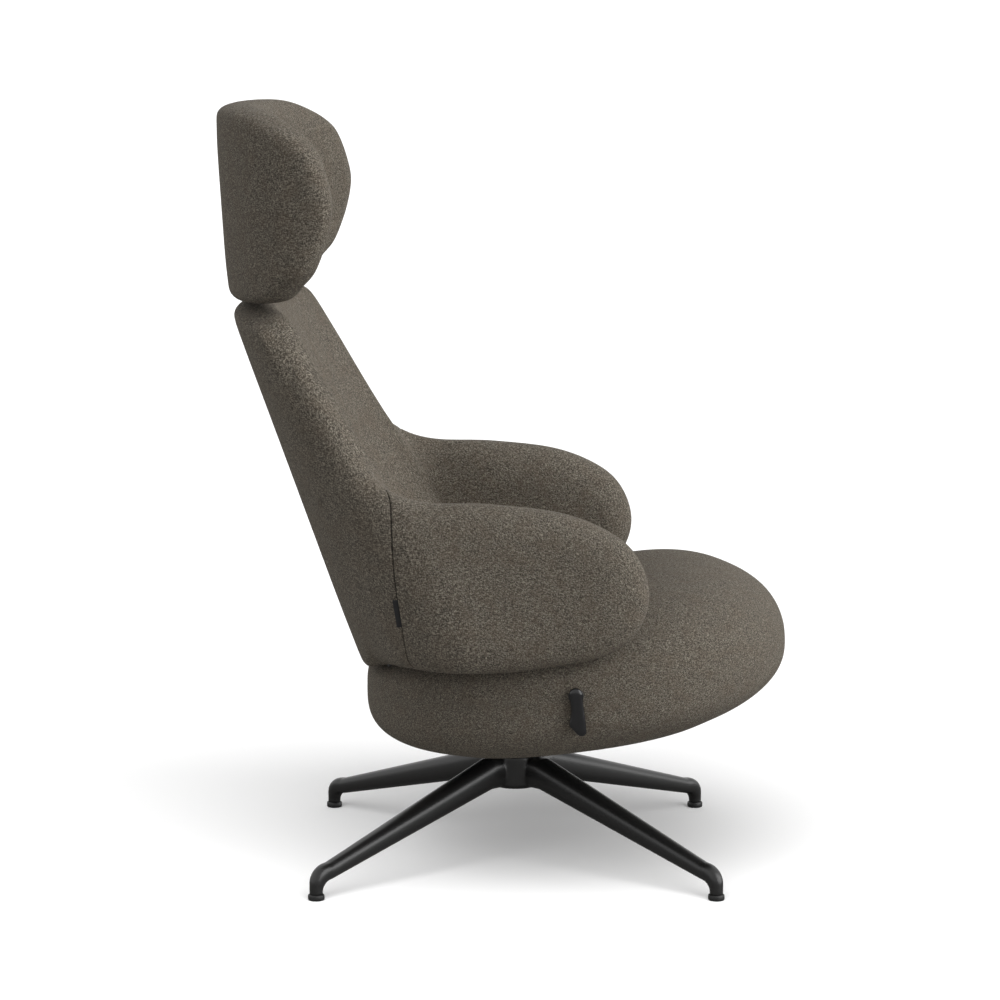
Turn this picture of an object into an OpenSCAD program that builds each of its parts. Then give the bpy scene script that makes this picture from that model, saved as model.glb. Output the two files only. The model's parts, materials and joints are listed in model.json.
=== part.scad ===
// High back easy chair: swivel base, lockable tilt, one-piece back with arms, sliding head pillow
// Origin on the swivel axis at floor level, +X forwards, +Y to the sitter's left, +Z up, millimetres

/* [Base] */
// Distance from the swivel axis to the centre of each foot
foot_r = 389; // [340:1:430]
// Radius of the hub casting
hub_r = 41; // [38:1:46]
// Height of the hub's underside above the floor
hub_low = 101; // [92:1:101]
// Height of the hub's top above the floor
hub_top = 150; // [144:1:154]
// Depth of a leg where it leaves the hub
leg_depth_hub = 45; // [38:1:45]
// Depth of a leg where it reaches its elbow
leg_depth_foot = 24; // [20:1:30]
// Width of a leg at the hub
leg_w_hub = 38; // [32:1:44]
// Width of a leg at its elbow
leg_w_foot = 23; // [22:1:28]
// Height of the top of the elbow
elbow_top = 49; // [44:1:56]
// Radius of the round boss under each elbow
foot_boss_r = 9.5; // [9:0.5:11]
// Radius of the glide under each foot
glide_r = 11.5; // [10:0.5:14]
// Height of the glide
glide_h = 7; // [5:0.5:10]
// Radius of the glide's push-in stem
glide_stem_r = 4; // [3:0.5:5]

/* [Swivel] */
// Outer radius of the column tube
column_r = 24; // [22:0.5:28]
// Wall of the column tube
column_wall = 4; // [3:0.5:5]
// How far the column tube stands above the hub
column_rise = 20; // [14:1:22]
// Radius of the turning spindle
spindle_r = 15; // [12:0.5:16]
// Length of each plain bush
bush_h = 22; // [16:1:24]
// Thickness of the thrust washer
washer_t = 3; // [2:0.5:4]

/* [Tilt mechanism] */
// Height of the tilt axis above the floor
tilt_z = 222; // [220:1:224]
// Furthest backward tilt in degrees
tilt_range = 10; // [6:1:10]
// Radius of the tilt axle
axle_r = 8; // [7:0.5:9]
// Thickness of the pressed steel plates
plate_t = 4; // [3:0.5:5]
// Length of the lower bracket, front to back
housing_l = 136; // [120:1:150]
// Width over the cheeks of the lower bracket
housing_w = 96; // [88:1:104]
// Length of the upper bracket, front to back
bracket_l = 190; // [170:1:200]
// Width of the upper bracket
bracket_w = 140; // [130:1:146]
// Wire radius of the return spring
spring_wire_r = 2.6; // [2:0.2:3.2]
// Mean radius of the return spring
spring_r = 15; // [12:0.5:17]

/* [Seat] */
// Centre of the seat, in front of the swivel axis
seat_x = 86; // [80:1:92]
// Half length of the seat cushion
seat_half_l = 299; // [290:1:305]
// Half width of the seat cushion
seat_half_w = 334; // [325:1:337]
// Height of the seat cushion's widest line at its centre
seat_mid_z = 284; // [280:1:288]
// Upward slope of the seat towards the front in degrees
seat_slope = 6.7; // [5:0.1:8]
// Height of the crown above the widest line at the front
seat_crown = 134; // [126:1:140]
// Height of the crown above the widest line at the back
seat_crown_rear = 70; // [60:1:71]
// How square the top of the seat's tail is, where the back stands over it
seat_tail = 0.8; // [0.5:0.05:0.85]
// Depth of the belly under the widest line at the front
seat_belly = 94; // [88:1:100]
// Depth of the belly under the widest line at the back
seat_belly_rear = 94; // [88:1:100]
// Thickness of the plywood seat pan
pan_t = 12; // [9:1:15]
// Half width of the seat pan
pan_half_w = 236; // [220:1:250]
// Front edge of the seat pan
pan_front = 285; // [260:1:300]
// Rear edge of the seat pan
pan_rear = -166; // [-170:1:-160]

/* [Back and arms] */
// Height of the top edge of the back
back_top = 805; // [760:1:806]
// Lean of the back from upright in degrees
back_lean = 20.4; // [18:0.1:22]
// Half width of the back's middle surface at its top
back_half_top = 290; // [270:1:300]
// Half width of the back's middle surface at seat level
back_half_low = 341; // [338:1:348]
// How far each arm flares out towards its tip
arm_flare = 15; // [8:1:24]
// Height of the top of the arm at its middle
arm_top = 549; // [530:1:560]
// Height of the lower edge of the arm at its middle
arm_low = 331; // [331:1:340]
// Foremost point of the arm
arm_tip_x = 178; // [160:1:190]
// Height of the arm's foremost point
arm_tip_z = 438; // [425:1:450]
// Half thickness of the arm
arm_half_t = 45; // [38:1:47]
// Half thickness of the back at its top
back_half_t_top = 30; // [26:1:34]
// Half thickness of the back at seat level
back_half_t_low = 38; // [34:1:40]
// Radius of the tubes of the back frame
tube_r = 11; // [9:0.5:12]
// Radius of the tubes of the arm frames
arm_tube_r = 8; // [6:0.5:9]
// Distance of each upright tube from the middle plane
upright_y = 140; // [130:1:150]

/* [Head pillow] */
// Height of the pillow's top edge
head_top = 1081; // [1060:1:1100]
// Height of the pillow's lower edge at its middle
head_low = 810; // [808:1:816]
// Half width of the pillow's middle surface
head_half_w = 304; // [280:1:315]
// Foremost point of the pillow's wings
head_tip_x = -245; // [-255:1:-235]
// Half thickness of the pillow at its middle
head_half_t = 37; // [32:1:40]
// Half thickness of the pillow's wings
wing_half_t = 30; // [24:1:34]
// How far the pillow can be raised
head_travel = 60; // [30:5:70]
// Radius of the pillow's two stems
stem_r = 6; // [5:0.5:7]
// Distance of each stem from the middle plane
stem_y = 80; // [60:1:100]

/* [Lever] */
// Distance of the lever's pin in front of the swivel axis
lever_x = 80; // [70:1:90]
// Height of the lever's pin
lever_z = 298; // [292:1:302]
// Radius of the lever's pin
lever_pin_r = 4; // [3:0.5:5]
// Length of the lever below its pin
lever_l = 53; // [46:1:62]
// Thickness of the lever's blade
lever_t = 7; // [5:0.5:9]

/* [Fits] */
// Radial gap of parts that turn or slide
running = 0.05; // [0.03:0.01:0.08]
// Radial gap of parts that are pushed together
seated = 0.05; // [0.03:0.01:0.08]
// Gap between foam and what it is moulded round
foam_gap = 0.3; // [0.2:0.1:0.5]

/* [Hidden] */
$fn = 48;
fabric = [0.40, 0.38, 0.34];
coat = [0.13, 0.13, 0.13];
steel = [0.62, 0.63, 0.65];
zinc = [0.74, 0.72, 0.62];
nylon = [0.88, 0.87, 0.82];
ply = [0.76, 0.62, 0.42];

// Heights of the swivel stack, each on top of the one before
column_top = hub_top + column_rise;
bush_flange_t = 3;
washer_low = column_top + bush_flange_t;
flange_low = washer_low + washer_t;
flange_t = 6;
plate_low = flange_low + flange_t;
plate_top = plate_low + plate_t;
nut_h = 8;
clip_t = 1.5;
lower_bush_low = hub_low + 7;
pan_low = tilt_z + 18;
pan_top = pan_low + pan_t;
bracket_low = pan_low - plate_t;
ear_gap = 2;
ear_in = housing_w/2 + ear_gap;
ear_out = ear_in + plate_t;
axle_bush_r = axle_r + 2;
axle_end = ear_out + 6;

// Curves and skins used by all the upholstered pieces
function mix(a, b, t) = a + (b - a)*t;
function ease(t) = let (c = max(0, min(1, t))) c*c*(3 - 2*c);

// Point at u on a smooth curve through the points p, the curve mirrored about its first point
function through(p, u) =
    let (v = abs(u), i = min(floor(v), len(p) - 2), t = v - i)
    let (b = p[i], c = p[i + 1])
    let (a = i > 0 ? p[i - 1] : [-p[1][0], p[1][1]])
    let (d = i + 2 < len(p) ? p[i + 2] : 2*c - b)
    let (q = 0.5*(2*b + (c - a)*t + (2*a - 5*b + 4*c - d)*t*t + (3*b - a - 3*c + d)*t*t*t))
    u < 0 ? [-q[0], q[1]] : q;

// A wrap is an upright surface, half an ellipse in plan, whose plan changes evenly with height:
// [low z, high z, rear x low, rear x high, side x low, side x high, half width low, high, flare]
function wrap_level(w, z) = (z - w[0])/(w[1] - w[0]);
function wrap_side(w, z) = mix(w[4], w[5], wrap_level(w, z));
function wrap_depth(w, z) = wrap_side(w, z) - mix(w[2], w[3], wrap_level(w, z));
function wrap_half(w, z) = mix(w[6], w[7], wrap_level(w, z));

// Point on the wrap: a = 0 at the rear middle, 1 where the side begins, above 1 along the arm
function wrap_point(w, a, z) =
    let (t = abs(a), s = a < 0 ? -1 : 1, l = wrap_depth(w, z), h = wrap_half(w, z))
    t <= 1
    ? [wrap_side(w, z) - l*cos(90*t), s*h*sin(90*t), z]
    : [wrap_side(w, z) + (t - 1)*l*PI/2, s*(h + w[8]*(t - 1)*(t - 1)), z];

// The coordinate a of the wrap at x and z
function wrap_a(w, x, z) =
    let (d = wrap_side(w, z) - x, l = wrap_depth(w, z))
    d > 0 ? acos(min(1, d/l))/90 : 1 - d/(l*PI/2);

// Coordinate a of the wrap at a distance y from the middle plane
function wrap_a_at_y(w, y, z) = asin(min(1, y/wrap_half(w, z)))/90;

function wrap_speed(w, a, z) = norm(wrap_point(w, a + 0.01, z) - wrap_point(w, a - 0.01, z))/0.02;

// Unit normal of the wrap, pointing towards the sitter
function wrap_normal(w, a, z) =
    let (n = cross(wrap_point(w, a + 0.01, z) - wrap_point(w, a - 0.01, z),
                   wrap_point(w, a, z + 1) - wrap_point(w, a, z - 1)))
    n/norm(n);

// Station u of a pad on a wrap: it leaves the low rim upwards and meets the high rim squarely,
// more or less straight between them as bow goes from 0 to 0.36
function station(w, high, low, u, bow) =
    let (p = through(high, u), q = through(low, u))
    let (p1 = through(high, u + 0.05), p0 = through(high, u - 0.05))
    let (m = wrap_speed(w, p[0], p[1]), t = [m*(p1[0] - p0[0]), p1[1] - p0[1]])
    let (n = [t[1], -t[0]]/max(0.001, norm(t)))
    let (l = norm([m*(p[0] - q[0]), p[1] - q[1]])*bow)
    [q, [q[0], q[1] + l], [p[0] + n[0]*l/m, p[1] + n[1]*l], p];

function bezier(b, t) =
    let (s = 1 - t)
    s*s*s*b[0] + 3*s*s*t*b[1] + 3*s*t*t*b[2] + t*t*t*b[3];

function station_length(w, b) =
    let (p = [for (i = [0:4]) let (q = bezier(b, i/4)) wrap_point(w, q[0], q[1])])
    norm(p[1] - p[0]) + norm(p[2] - p[1]) + norm(p[3] - p[2]) + norm(p[4] - p[3]);

// Places along a station, from its low rim to its high rim, close together where the rim rounds
function places(l, r) =
    let (e = min(r[0], l*0.42)/l, f = min(r[1], l*0.42)/l)
    concat([for (i = [0:3]) e*(1 - cos(i*22.5))],
           [for (i = [0:4]) mix(e, 1 - f, i/4)],
           [for (i = [3:-1:0]) 1 - f*(1 - cos(i*22.5))]);

// Share of the full thickness at place q of a station of length l whose rims round over r
function rounding(q, l, r) =
    let (e = min(r[q < 0.5 ? 0 : 1], l*0.42), d = min(q, 1 - q)*l)
    d >= e ? 1 : sqrt(max(0, 1 - pow(1 - d/e, 2)));

// Closed ring of points round a station: up the face to the sitter, then down the outer face,
// with its half thickness and the reach of its rounding at the low and the high rim
function ring(w, b, half_t, r, side) =
    let (l = station_length(w, b), q = places(l, r), n = len(q))
    let (at = [for (t = q) let (c = bezier(b, t)) [side*c[0], c[1], mix(half_t[0], half_t[1], t)*rounding(t, l, r)]])
    concat([for (i = [0:n - 1]) wrap_point(w, at[i][0], at[i][1])
                + at[i][2]*wrap_normal(w, at[i][0], at[i][1])],
           [for (i = [n - 2:-1:1]) wrap_point(w, at[i][0], at[i][1])
                - at[i][2]*wrap_normal(w, at[i][0], at[i][1])]);

// Closed solid through rings of equal count, each end closed by a fan to one point
module skin(rings, first, last) {
    n = len(rings);
    m = len(rings[0]);
    faces = concat(
        [for (i = [0:n - 2], j = [0:m - 1]) [i*m + j, i*m + (j + 1)%m, (i + 1)*m + (j + 1)%m]],
        [for (i = [0:n - 2], j = [0:m - 1]) [i*m + j, (i + 1)*m + (j + 1)%m, (i + 1)*m + j]],
        [for (j = [0:m - 1]) [n*m, (j + 1)%m, j]],
        [for (j = [0:m - 1]) [n*m + 1, (n - 1)*m + j, (n - 1)*m + (j + 1)%m]]);
    polyhedron(concat([for (r = rings) each r], [first, last]), faces, convexity = 8);
}

function average(p) = [for (i = [0:2]) [for (q = p) q[i]]*[for (q = p) 1]/len(p)];

// The back and arms: one wrap with its high rim and low rim, from the rear middle to the arm's tip
back_base_z = 300;
back_rear_low = -183;
back_rear_top = back_rear_low - (back_top - back_base_z)*tan(back_lean);
back_wrap = [back_base_z, back_top, back_rear_low, back_rear_top, -10, -10 - 0.58*(back_top - back_base_z),
             back_half_low, back_half_top, arm_flare];
function on_back(x, z) = [wrap_a(back_wrap, x, z), z];
back_high = [
    [0, back_top], [0.40, back_top - 1], [0.70, back_top - 6],
    on_back(back_rear_top + 53, back_top - 18), on_back(back_rear_top + 79, back_top - 57),
    on_back(-246, 672), on_back(-211, 614), on_back(-171, arm_top + 23), on_back(-112, arm_top + 9),
    on_back(-30, arm_top + 5), on_back(58, arm_top - 4), on_back(arm_tip_x - 58, arm_top - 26),
    on_back(arm_tip_x - 19, arm_tip_z + 53), on_back(arm_tip_x, arm_tip_z)];
back_low = [
    [0, arm_low - 25], [0.095, arm_low - 25], [0.19, arm_low - 24], [0.285, arm_low - 21], [0.38, arm_low - 16],
    [0.475, arm_low - 10], [0.57, arm_low - 4], [0.66, arm_low], on_back(-70, arm_low),
    on_back(-16, arm_low), on_back(58, arm_low + 9), on_back(arm_tip_x - 62, arm_low + 22),
    on_back(arm_tip_x - 17, arm_tip_z - 54), on_back(arm_tip_x, arm_tip_z)];
seam_u = 7;
tip_u = len(back_high) - 1;
back_rim_r = [20, 17];
arm_rim_r = [58, 58];

// Half thickness of the back and arms at station u
function back_half_t(u, l, q) =
    mix(mix(back_half_t_low, back_half_t_top, q), arm_half_t, ease((u - 4)/4))*pow(min(1, l/190), 0.8);

// The seam where the arm's cover meets the back's cover runs straight down from the notch over the arm
function back_station(u) =
    station(back_wrap, back_high, back_low, u, 0.36 - 0.32*(1 - ease(abs(u - seam_u)/2)));

function back_ring(u) =
    let (v = abs(u), b = back_station(v), l = station_length(back_wrap, b))
    ring(back_wrap, b, [back_half_t(v, l, 0), back_half_t(v, l, 1)],
         mix(back_rim_r, arm_rim_r, ease((v - 4)/3)), u < 0 ? -1 : 1);

arm_stations = concat([for (u = [seam_u:0.5:tip_u - 1]) u], [tip_u - 0.65, tip_u - 0.35, tip_u - 0.12]);

module pad_back() {
    rings = [for (u = [-seam_u:0.5:seam_u]) back_ring(u)];
    skin(rings, average(rings[0]), average(rings[len(rings) - 1]));
}

module pad_arm(side) {
    tip = wrap_point(back_wrap, side*back_high[tip_u][0], arm_tip_z);
    rings = [for (u = arm_stations) back_ring(side*u)];
    turned = side > 0 ? rings : [for (i = [len(rings) - 1:-1:0]) rings[i]];
    seam = average(rings[0]);
    skin(turned, side > 0 ? seam : tip, side > 0 ? tip : seam);
}

// The head pillow: the same kind of pad, closed at both wing tips
head_wrap = [head_low, head_top, -367, -384, head_tip_x + 2, head_tip_x + 2, head_half_w, head_half_w - 2, 0];
function on_head(x, z) = [wrap_a(head_wrap, x, z), z];
head_high = [
    [0, head_top], [0.28, head_top - 1], [0.50, head_top - 6], on_head(head_tip_x - 64, head_top - 21),
    on_head(head_tip_x - 36, head_top - 39), on_head(head_tip_x - 20, head_top - 58),
    on_head(head_tip_x - 6, head_top - 93), on_head(head_tip_x, head_top - 129)];
head_under = [
    [0, head_low], [0.25, head_low + 1], [0.45, head_low + 5], [0.62, head_low + 14],
    on_head(head_tip_x - 52, head_low + 30), on_head(head_tip_x - 29, head_low + 54),
    on_head(head_tip_x - 9, head_low + 97), on_head(head_tip_x, head_top - 129)];
head_tip_u = len(head_high) - 1;
head_rim_r = [44, 44];

function head_ring(u) =
    let (s = u < 0 ? -1 : 1, b = station(head_wrap, head_high, head_under, abs(u), 0.36))
    let (l = station_length(head_wrap, b))
    let (t = mix(head_half_t, wing_half_t, ease(abs(u)/5))*pow(min(1, l/150), 0.8))
    ring(head_wrap, b, [t, t], head_rim_r, s);

module pad_head() {
    half = concat([for (u = [0:0.5:head_tip_u - 1]) u], [head_tip_u - 0.65, head_tip_u - 0.35, head_tip_u - 0.12]);
    all = concat([for (i = [len(half) - 1:-1:1]) -half[i]], half);
    tip = wrap_point(head_wrap, head_high[head_tip_u][0], head_high[head_tip_u][1]);
    skin([for (u = all) head_ring(u)], [tip[0], -tip[1], tip[2]], tip);
}

// The seat: a pebble, round in plan, with a higher and rounder nose than its tail
function seat_point(turn, rise) =
    let (c = cos(turn), s = sin(turn), plan_n = 2.35)
    let (tail = rise > 0 ? seat_tail*ease(-c/0.6)*(1 + 3*s*s) : 0, n = 2.7 - 0.3*c + 0.5*s*s + tail)
    let (r = pow(abs(cos(rise)), 2/n), h = pow(abs(sin(rise)), 2/n)*sign(rise))
    let (x = r*seat_half_l*pow(abs(c), 2/plan_n)*sign(c), y = r*seat_half_w*pow(abs(s), 2/plan_n)*sign(s))
    let (k = ease(0.5 + x/(2*seat_half_l)))
    let (up = mix(seat_crown_rear, seat_crown, ease((x + seat_half_l)/(1.75*seat_half_l))), down = mix(seat_belly_rear, seat_belly, k))
    [seat_x + x, y, seat_mid_z + x*tan(seat_slope) + (h > 0 ? up : down)*h];

module pad_seat() {
    turns = 40;
    rises = [for (i = [-9:9]) i*9.3];
    rings = [for (v = rises) [for (j = [0:turns - 1]) seat_point(-j*360/turns, v)]];
    skin(rings, seat_point(0, -90), seat_point(0, 90));
}

// Rings of a tube along points: each ring runs on to the next mitre plane
function unit(v) = v/norm(v);
function mitre(p, i) = i >= len(p) - 1 ? unit(p[i] - p[i - 1]) : unit(unit(p[i] - p[i - 1]) + unit(p[i + 1] - p[i]));
function carry(p, ring, i) =
    let (d = unit(p[i] - p[i - 1]), n = mitre(p, i))
    [for (q = ring) q + d*(((p[i] - q)*n)/(d*n))];
function tube_rings(p, ring, i = 1) =
    i == len(p) ? [ring] : concat([ring], tube_rings(p, carry(p, ring, i), i + 1));

// Tube of so many flats along points, its first end cut square or level
module tube(points, r, flats, level = false) {
    d = unit(points[1] - points[0]);
    a = unit(cross(d, abs(d[1]) < 0.8 ? [0, 1, 0] : [0, 0, 1]));
    b = cross(d, a);
    n = level ? [0, 0, 1] : d;
    around = [for (k = [0:flats - 1]) let (v = -(k + 0.5)*360/flats) r*(cos(v)*a + sin(v)*b)];
    first = [for (q = around) points[0] + q - d*((q*n)/(d*n))];
    skin(tube_rings(points, first), points[0], points[len(points) - 1]);
}

// Round bar from one point to another
module rod(p, q, r) {
    d = q - p;
    translate(p) rotate([0, acos(d[2]/norm(d)), atan2(d[1], d[0])]) cylinder(r = r, h = norm(d));
}

// Round bar along Y, from y0 to y1
module bar_y(x, z, y0, y1, r) {
    translate([x, y0, z]) rotate([-90, 0, 0]) cylinder(r = r, h = y1 - y0);
}

module ring_y(x, z, y0, y1, r_out, r_in) {
    difference() {
        bar_y(x, z, y0, y1, r_out);
        bar_y(x, z, y0 - 1, y1 + 1, r_in);
    }
}

// Base
elbow_r0 = foot_r - 23;
elbow_low = elbow_top - leg_depth_foot;

// Six-sided section of a leg between a low point and a high point in the plane of the leg
function leg_section(low, high, w) =
    let (d = high - low)
    [for (p = [[0, -0.28], [0.20, -0.44], [0.55, -0.5], [0.86, -0.38], [1, -0.20],
               [1, 0.20], [0.86, 0.38], [0.55, 0.5], [0.20, 0.44], [0, 0.28]])
        [low[0] + d[0]*p[0], w*p[1], low[1] + d[1]*p[0]]];

module leg() {
    root_r = hub_r + 17;
    root_top = hub_top - 4;
    root_low = root_top - leg_depth_hub;
    straight = [
        leg_section([18, root_low], [18, root_top], leg_w_hub),
        leg_section([root_r, root_low], [root_r, root_top], leg_w_hub),
        leg_section([elbow_r0, elbow_low], [elbow_r0, elbow_top], leg_w_foot)];
    inner = foot_r - foot_boss_r;
    outer = foot_r + foot_boss_r + 0.2;
    bend = [for (i = [1:6]) let (v = 90 - i*15)
        leg_section([mix(elbow_r0, inner, cos(v)), mix(glide_h + 5, elbow_low, sin(v))],
                    [mix(elbow_r0, outer, cos(v)), mix(elbow_low - 3, elbow_top, sin(v))],
                    mix(2*foot_boss_r, leg_w_foot, sin(v)))];
    stop = leg_section([inner + 1, glide_h + 1.5], [outer - 1.2, glide_h + 1.5], 2*foot_boss_r - 3);
    rings = concat(straight, bend, [stop]);
    skin(rings, average(rings[0]), average(stop));
}

module base_star() {
    color(coat)
        difference() {
            union() {
                rotate_extrude()
                    polygon([[0, hub_low], [hub_r - 3, hub_low], [hub_r, hub_low + 3], [hub_r, hub_top - 4],
                             [hub_r - 4, hub_top], [0, hub_top]]);
                for (i = [0:3]) rotate([0, 0, 45 + 90*i]) {
                    leg();
                    translate([foot_r, 0, glide_h]) cylinder(r = foot_boss_r, h = elbow_low - glide_h + 4);
                }
            }
            translate([0, 0, hub_low - 9]) cylinder(r = column_r + seated, h = hub_top - hub_low + 10);
            for (i = [0:3]) rotate([0, 0, 45 + 90*i])
                translate([foot_r, 0, glide_h - 1]) cylinder(r = glide_stem_r + seated, h = 14);
        }
}

module foot_glides() {
    color(coat)
        for (i = [0:3]) rotate([0, 0, 45 + 90*i]) translate([foot_r, 0, 0])
            rotate_extrude()
                polygon([[0, 0], [glide_r - 1.5, 0], [glide_r, 1.5], [glide_r, glide_h - 2], [glide_r - 1.5, glide_h],
                         [glide_stem_r, glide_h], [glide_stem_r, glide_h + 12], [0, glide_h + 12]]);
}

module tube_z(r_out, r_in, z0, z1) {
    rotate_extrude() translate([r_in, z0]) square([r_out - r_in, z1 - z0]);
}

module column_tube() {
    color(steel) tube_z(column_r, column_r - column_wall, hub_low, column_top);
}

module lower_bush() {
    color(nylon) tube_z(column_r - column_wall - seated, spindle_r + running, lower_bush_low, lower_bush_low + bush_h);
}

module upper_bush() {
    color(nylon) {
        tube_z(column_r - column_wall - seated, spindle_r + running, column_top - bush_h, column_top + 0.01);
        tube_z(column_r, spindle_r + running, column_top, column_top + bush_flange_t);
    }
}

module thrust_washer() {
    color(zinc) tube_z(column_r + 2, spindle_r + running, washer_low, washer_low + washer_t);
}

module hub_cap() {
    plug_r = column_r - column_wall - seated;
    color(coat)
        rotate_extrude()
            polygon([[0, hub_low - 2], [column_r + 7, hub_low - 2], [column_r + 8, hub_low - 1], [column_r + 8, hub_low],
                     [plug_r, hub_low], [plug_r, hub_low + 2], [0, hub_low + 2]]);
}

spindle_low = lower_bush_low - 4;
clip_low = lower_bush_low - clip_t - 0.3;

module spindle() {
    groove_r = spindle_r - 1.5;
    color(steel)
        rotate_extrude()
            polygon([[0, spindle_low], [spindle_r - 1, spindle_low], [spindle_r, spindle_low + 1], [spindle_r, clip_low],
                     [groove_r, clip_low], [groove_r, clip_low + clip_t], [spindle_r, clip_low + clip_t],
                     [spindle_r, flange_low], [column_r + 4, flange_low], [column_r + 4, plate_low],
                     [spindle_r - 3, plate_low], [spindle_r - 3, plate_top + nut_h + 2], [0, plate_top + nut_h + 2]]);
}

module spindle_clip() {
    color(zinc)
        difference() {
            tube_z(spindle_r + 3.5, spindle_r - 1.5 + seated, clip_low + 0.1, clip_low + clip_t - 0.1);
            translate([0, -6, clip_low - 1]) cube([spindle_r + 8, 12, clip_t + 2]);
        }
}

module spindle_nut() {
    color(zinc)
        difference() {
            translate([0, 0, plate_top]) cylinder(r = spindle_r + 5, h = nut_h, $fn = 6);
            translate([0, 0, plate_top - 1]) cylinder(r = spindle_r - 3 + seated, h = nut_h + 2);
        }
}

// Tilt mechanism: the cheeks of the housing end in a front stop and a sloping rear stop
stop_gap = 0.4;

module tilt_housing() {
    half = housing_l/2;
    front_stop_z = bracket_low - stop_gap;
    rear_stop_z = tilt_z + (bracket_low - tilt_z - half*sin(tilt_range))/cos(tilt_range) - stop_gap;
    cheek = [[-half, plate_low], [half, plate_low], [half, front_stop_z], [half - 16, front_stop_z],
             [24, tilt_z + 11], [-14, tilt_z + 11], [-half, rear_stop_z]];
    color(steel)
        difference() {
            union() {
                translate([-housing_l/2, -housing_w/2, plate_low]) cube([housing_l, housing_w, plate_t]);
                for (s = [-1, 1])
                    translate([0, s*(housing_w/2 - plate_t/2) + plate_t/2, 0]) rotate([90, 0, 0])
                        linear_extrude(plate_t) polygon(cheek);
            }
            translate([0, 0, plate_low - 1]) cylinder(r = spindle_r - 3 + seated, h = plate_t + 2);
            bar_y(0, tilt_z, -housing_w, housing_w, axle_r + seated);
            for (s = [-1, 1]) translate([s*48, 0, plate_low - 1]) cylinder(r = 7, h = plate_t + 2);
        }
}

module tilt_axle() {
    groove = axle_end - 3;
    color(steel)
        translate([0, 0, tilt_z]) rotate([-90, 0, 0])
            rotate_extrude()
                polygon([[0, axle_right], [axle_r - 1, axle_right], [axle_r, axle_right + 1], [axle_r, -groove],
                         [axle_r - 1.2, -groove], [axle_r - 1.2, 1.4 - groove], [axle_r, 1.4 - groove],
                         [axle_r, groove - 1.4], [axle_r - 1.2, groove - 1.4], [axle_r - 1.2, groove],
                         [axle_r, groove], [axle_r, axle_end - 1], [axle_r - 1, axle_end], [0, axle_end]]);
}

module axle_clips() {
    inner = axle_end - 4.3;
    color(zinc)
        for (s = [-1, 1])
            difference() {
                ring_y(0, tilt_z, s > 0 ? inner : -inner - 1.2, s > 0 ? inner + 1.2 : -inner, axle_r + 4, axle_r - 1.2 + seated);
                translate([-4, -axle_end - 1, tilt_z]) cube([8, 2*axle_end + 2, 20]);
            }
}

module axle_bushes() {
    color(nylon)
        for (s = [-1, 1]) {
            y0 = s > 0 ? ear_in : -ear_out;
            f0 = s > 0 ? ear_in - ear_gap + 0.2 : -ear_in;
            ring_y(0, tilt_z, y0 - 0.01, y0 + plate_t + 0.01, axle_bush_r - seated, axle_r + running);
            ring_y(0, tilt_z, f0, f0 + ear_gap - 0.2, axle_bush_r + 4, axle_r + running);
        }
}

module seat_bracket() {
    ear_r = 17;
    color(steel)
        difference() {
            union() {
                translate([-bracket_l/2, -bracket_w/2, bracket_low]) cube([bracket_l, bracket_w, plate_t]);
                for (s = [-1, 1]) {
                    y0 = s > 0 ? ear_in : -ear_out;
                    bar_y(0, tilt_z, y0, y0 + plate_t, ear_r);
                    translate([-ear_r, y0, tilt_z]) cube([2*ear_r, plate_t, bracket_low - tilt_z + 1]);
                }
            }
            bar_y(0, tilt_z, -bracket_w, bracket_w, axle_bush_r);
            translate([0, 0, bracket_low - 1]) cylinder(r = spindle_r + 9, h = plate_t + 2);
            for (x = [-1, 1], y = [-1, 1])
                translate([x*bolt_x, y*bolt_y, bracket_low - 1]) cylinder(r = 4 + seated, h = plate_t + 2);
        }
}

bolt_x = bracket_l/2 - 14;
bolt_y = bracket_w/2 - 10;

module pan_bolts() {
    color(zinc)
        for (x = [-1, 1], y = [-1, 1]) translate([x*bolt_x, y*bolt_y, 0]) {
            translate([0, 0, bracket_low - 5]) cylinder(r = 7.5, h = 5, $fn = 6);
            translate([0, 0, bracket_low - 0.01]) cylinder(r = 4, h = plate_t + pan_t - 2);
        }
}

// The return spring stands on the lower bracket behind the axle
spring_x = -45;
spring_low = plate_top + spring_wire_r;
spring_high = bracket_low - spring_wire_r;
spring_turns = 4;

module tilt_spring() {
    steps = 12*(spring_turns + 2);
    function climb(t) = spring_low + (spring_high - spring_low - 4)*ease(t) + 4*t;
    function at(i) = let (v = i*30)
        [spring_x + spring_r*cos(v), spring_r*sin(v), climb(i/steps)];
    rings = [for (i = [0:steps]) let (c = at(i), v = i*30)
        [for (k = [0:5]) c + spring_wire_r*[cos(k*60)*cos(v), cos(k*60)*sin(v), sin(k*60)]]];
    color(zinc) skin(rings, at(0), at(steps));
}

// Friction lock on the end of the tilt axle, worked by the lever through a cable
lock_r = 13.5;
lock_y0 = -ear_out - 24;
lock_y1 = -ear_out - 8;
axle_right = lock_y1 - 8;

module tilt_lock() {
    color(coat)
        difference() {
            union() {
                bar_y(0, tilt_z, lock_y0, lock_y1, lock_r);
                translate([-8, lock_y0, tilt_z]) cube([16, lock_y1 - lock_y0, bracket_low - tilt_z]);
                translate([-8, lock_y0, bracket_low - 3]) cube([16, 20.5, 3]);
            }
            bar_y(0, tilt_z, axle_right - 1, lock_y1 + 1, axle_r + running);
        }
}

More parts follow.
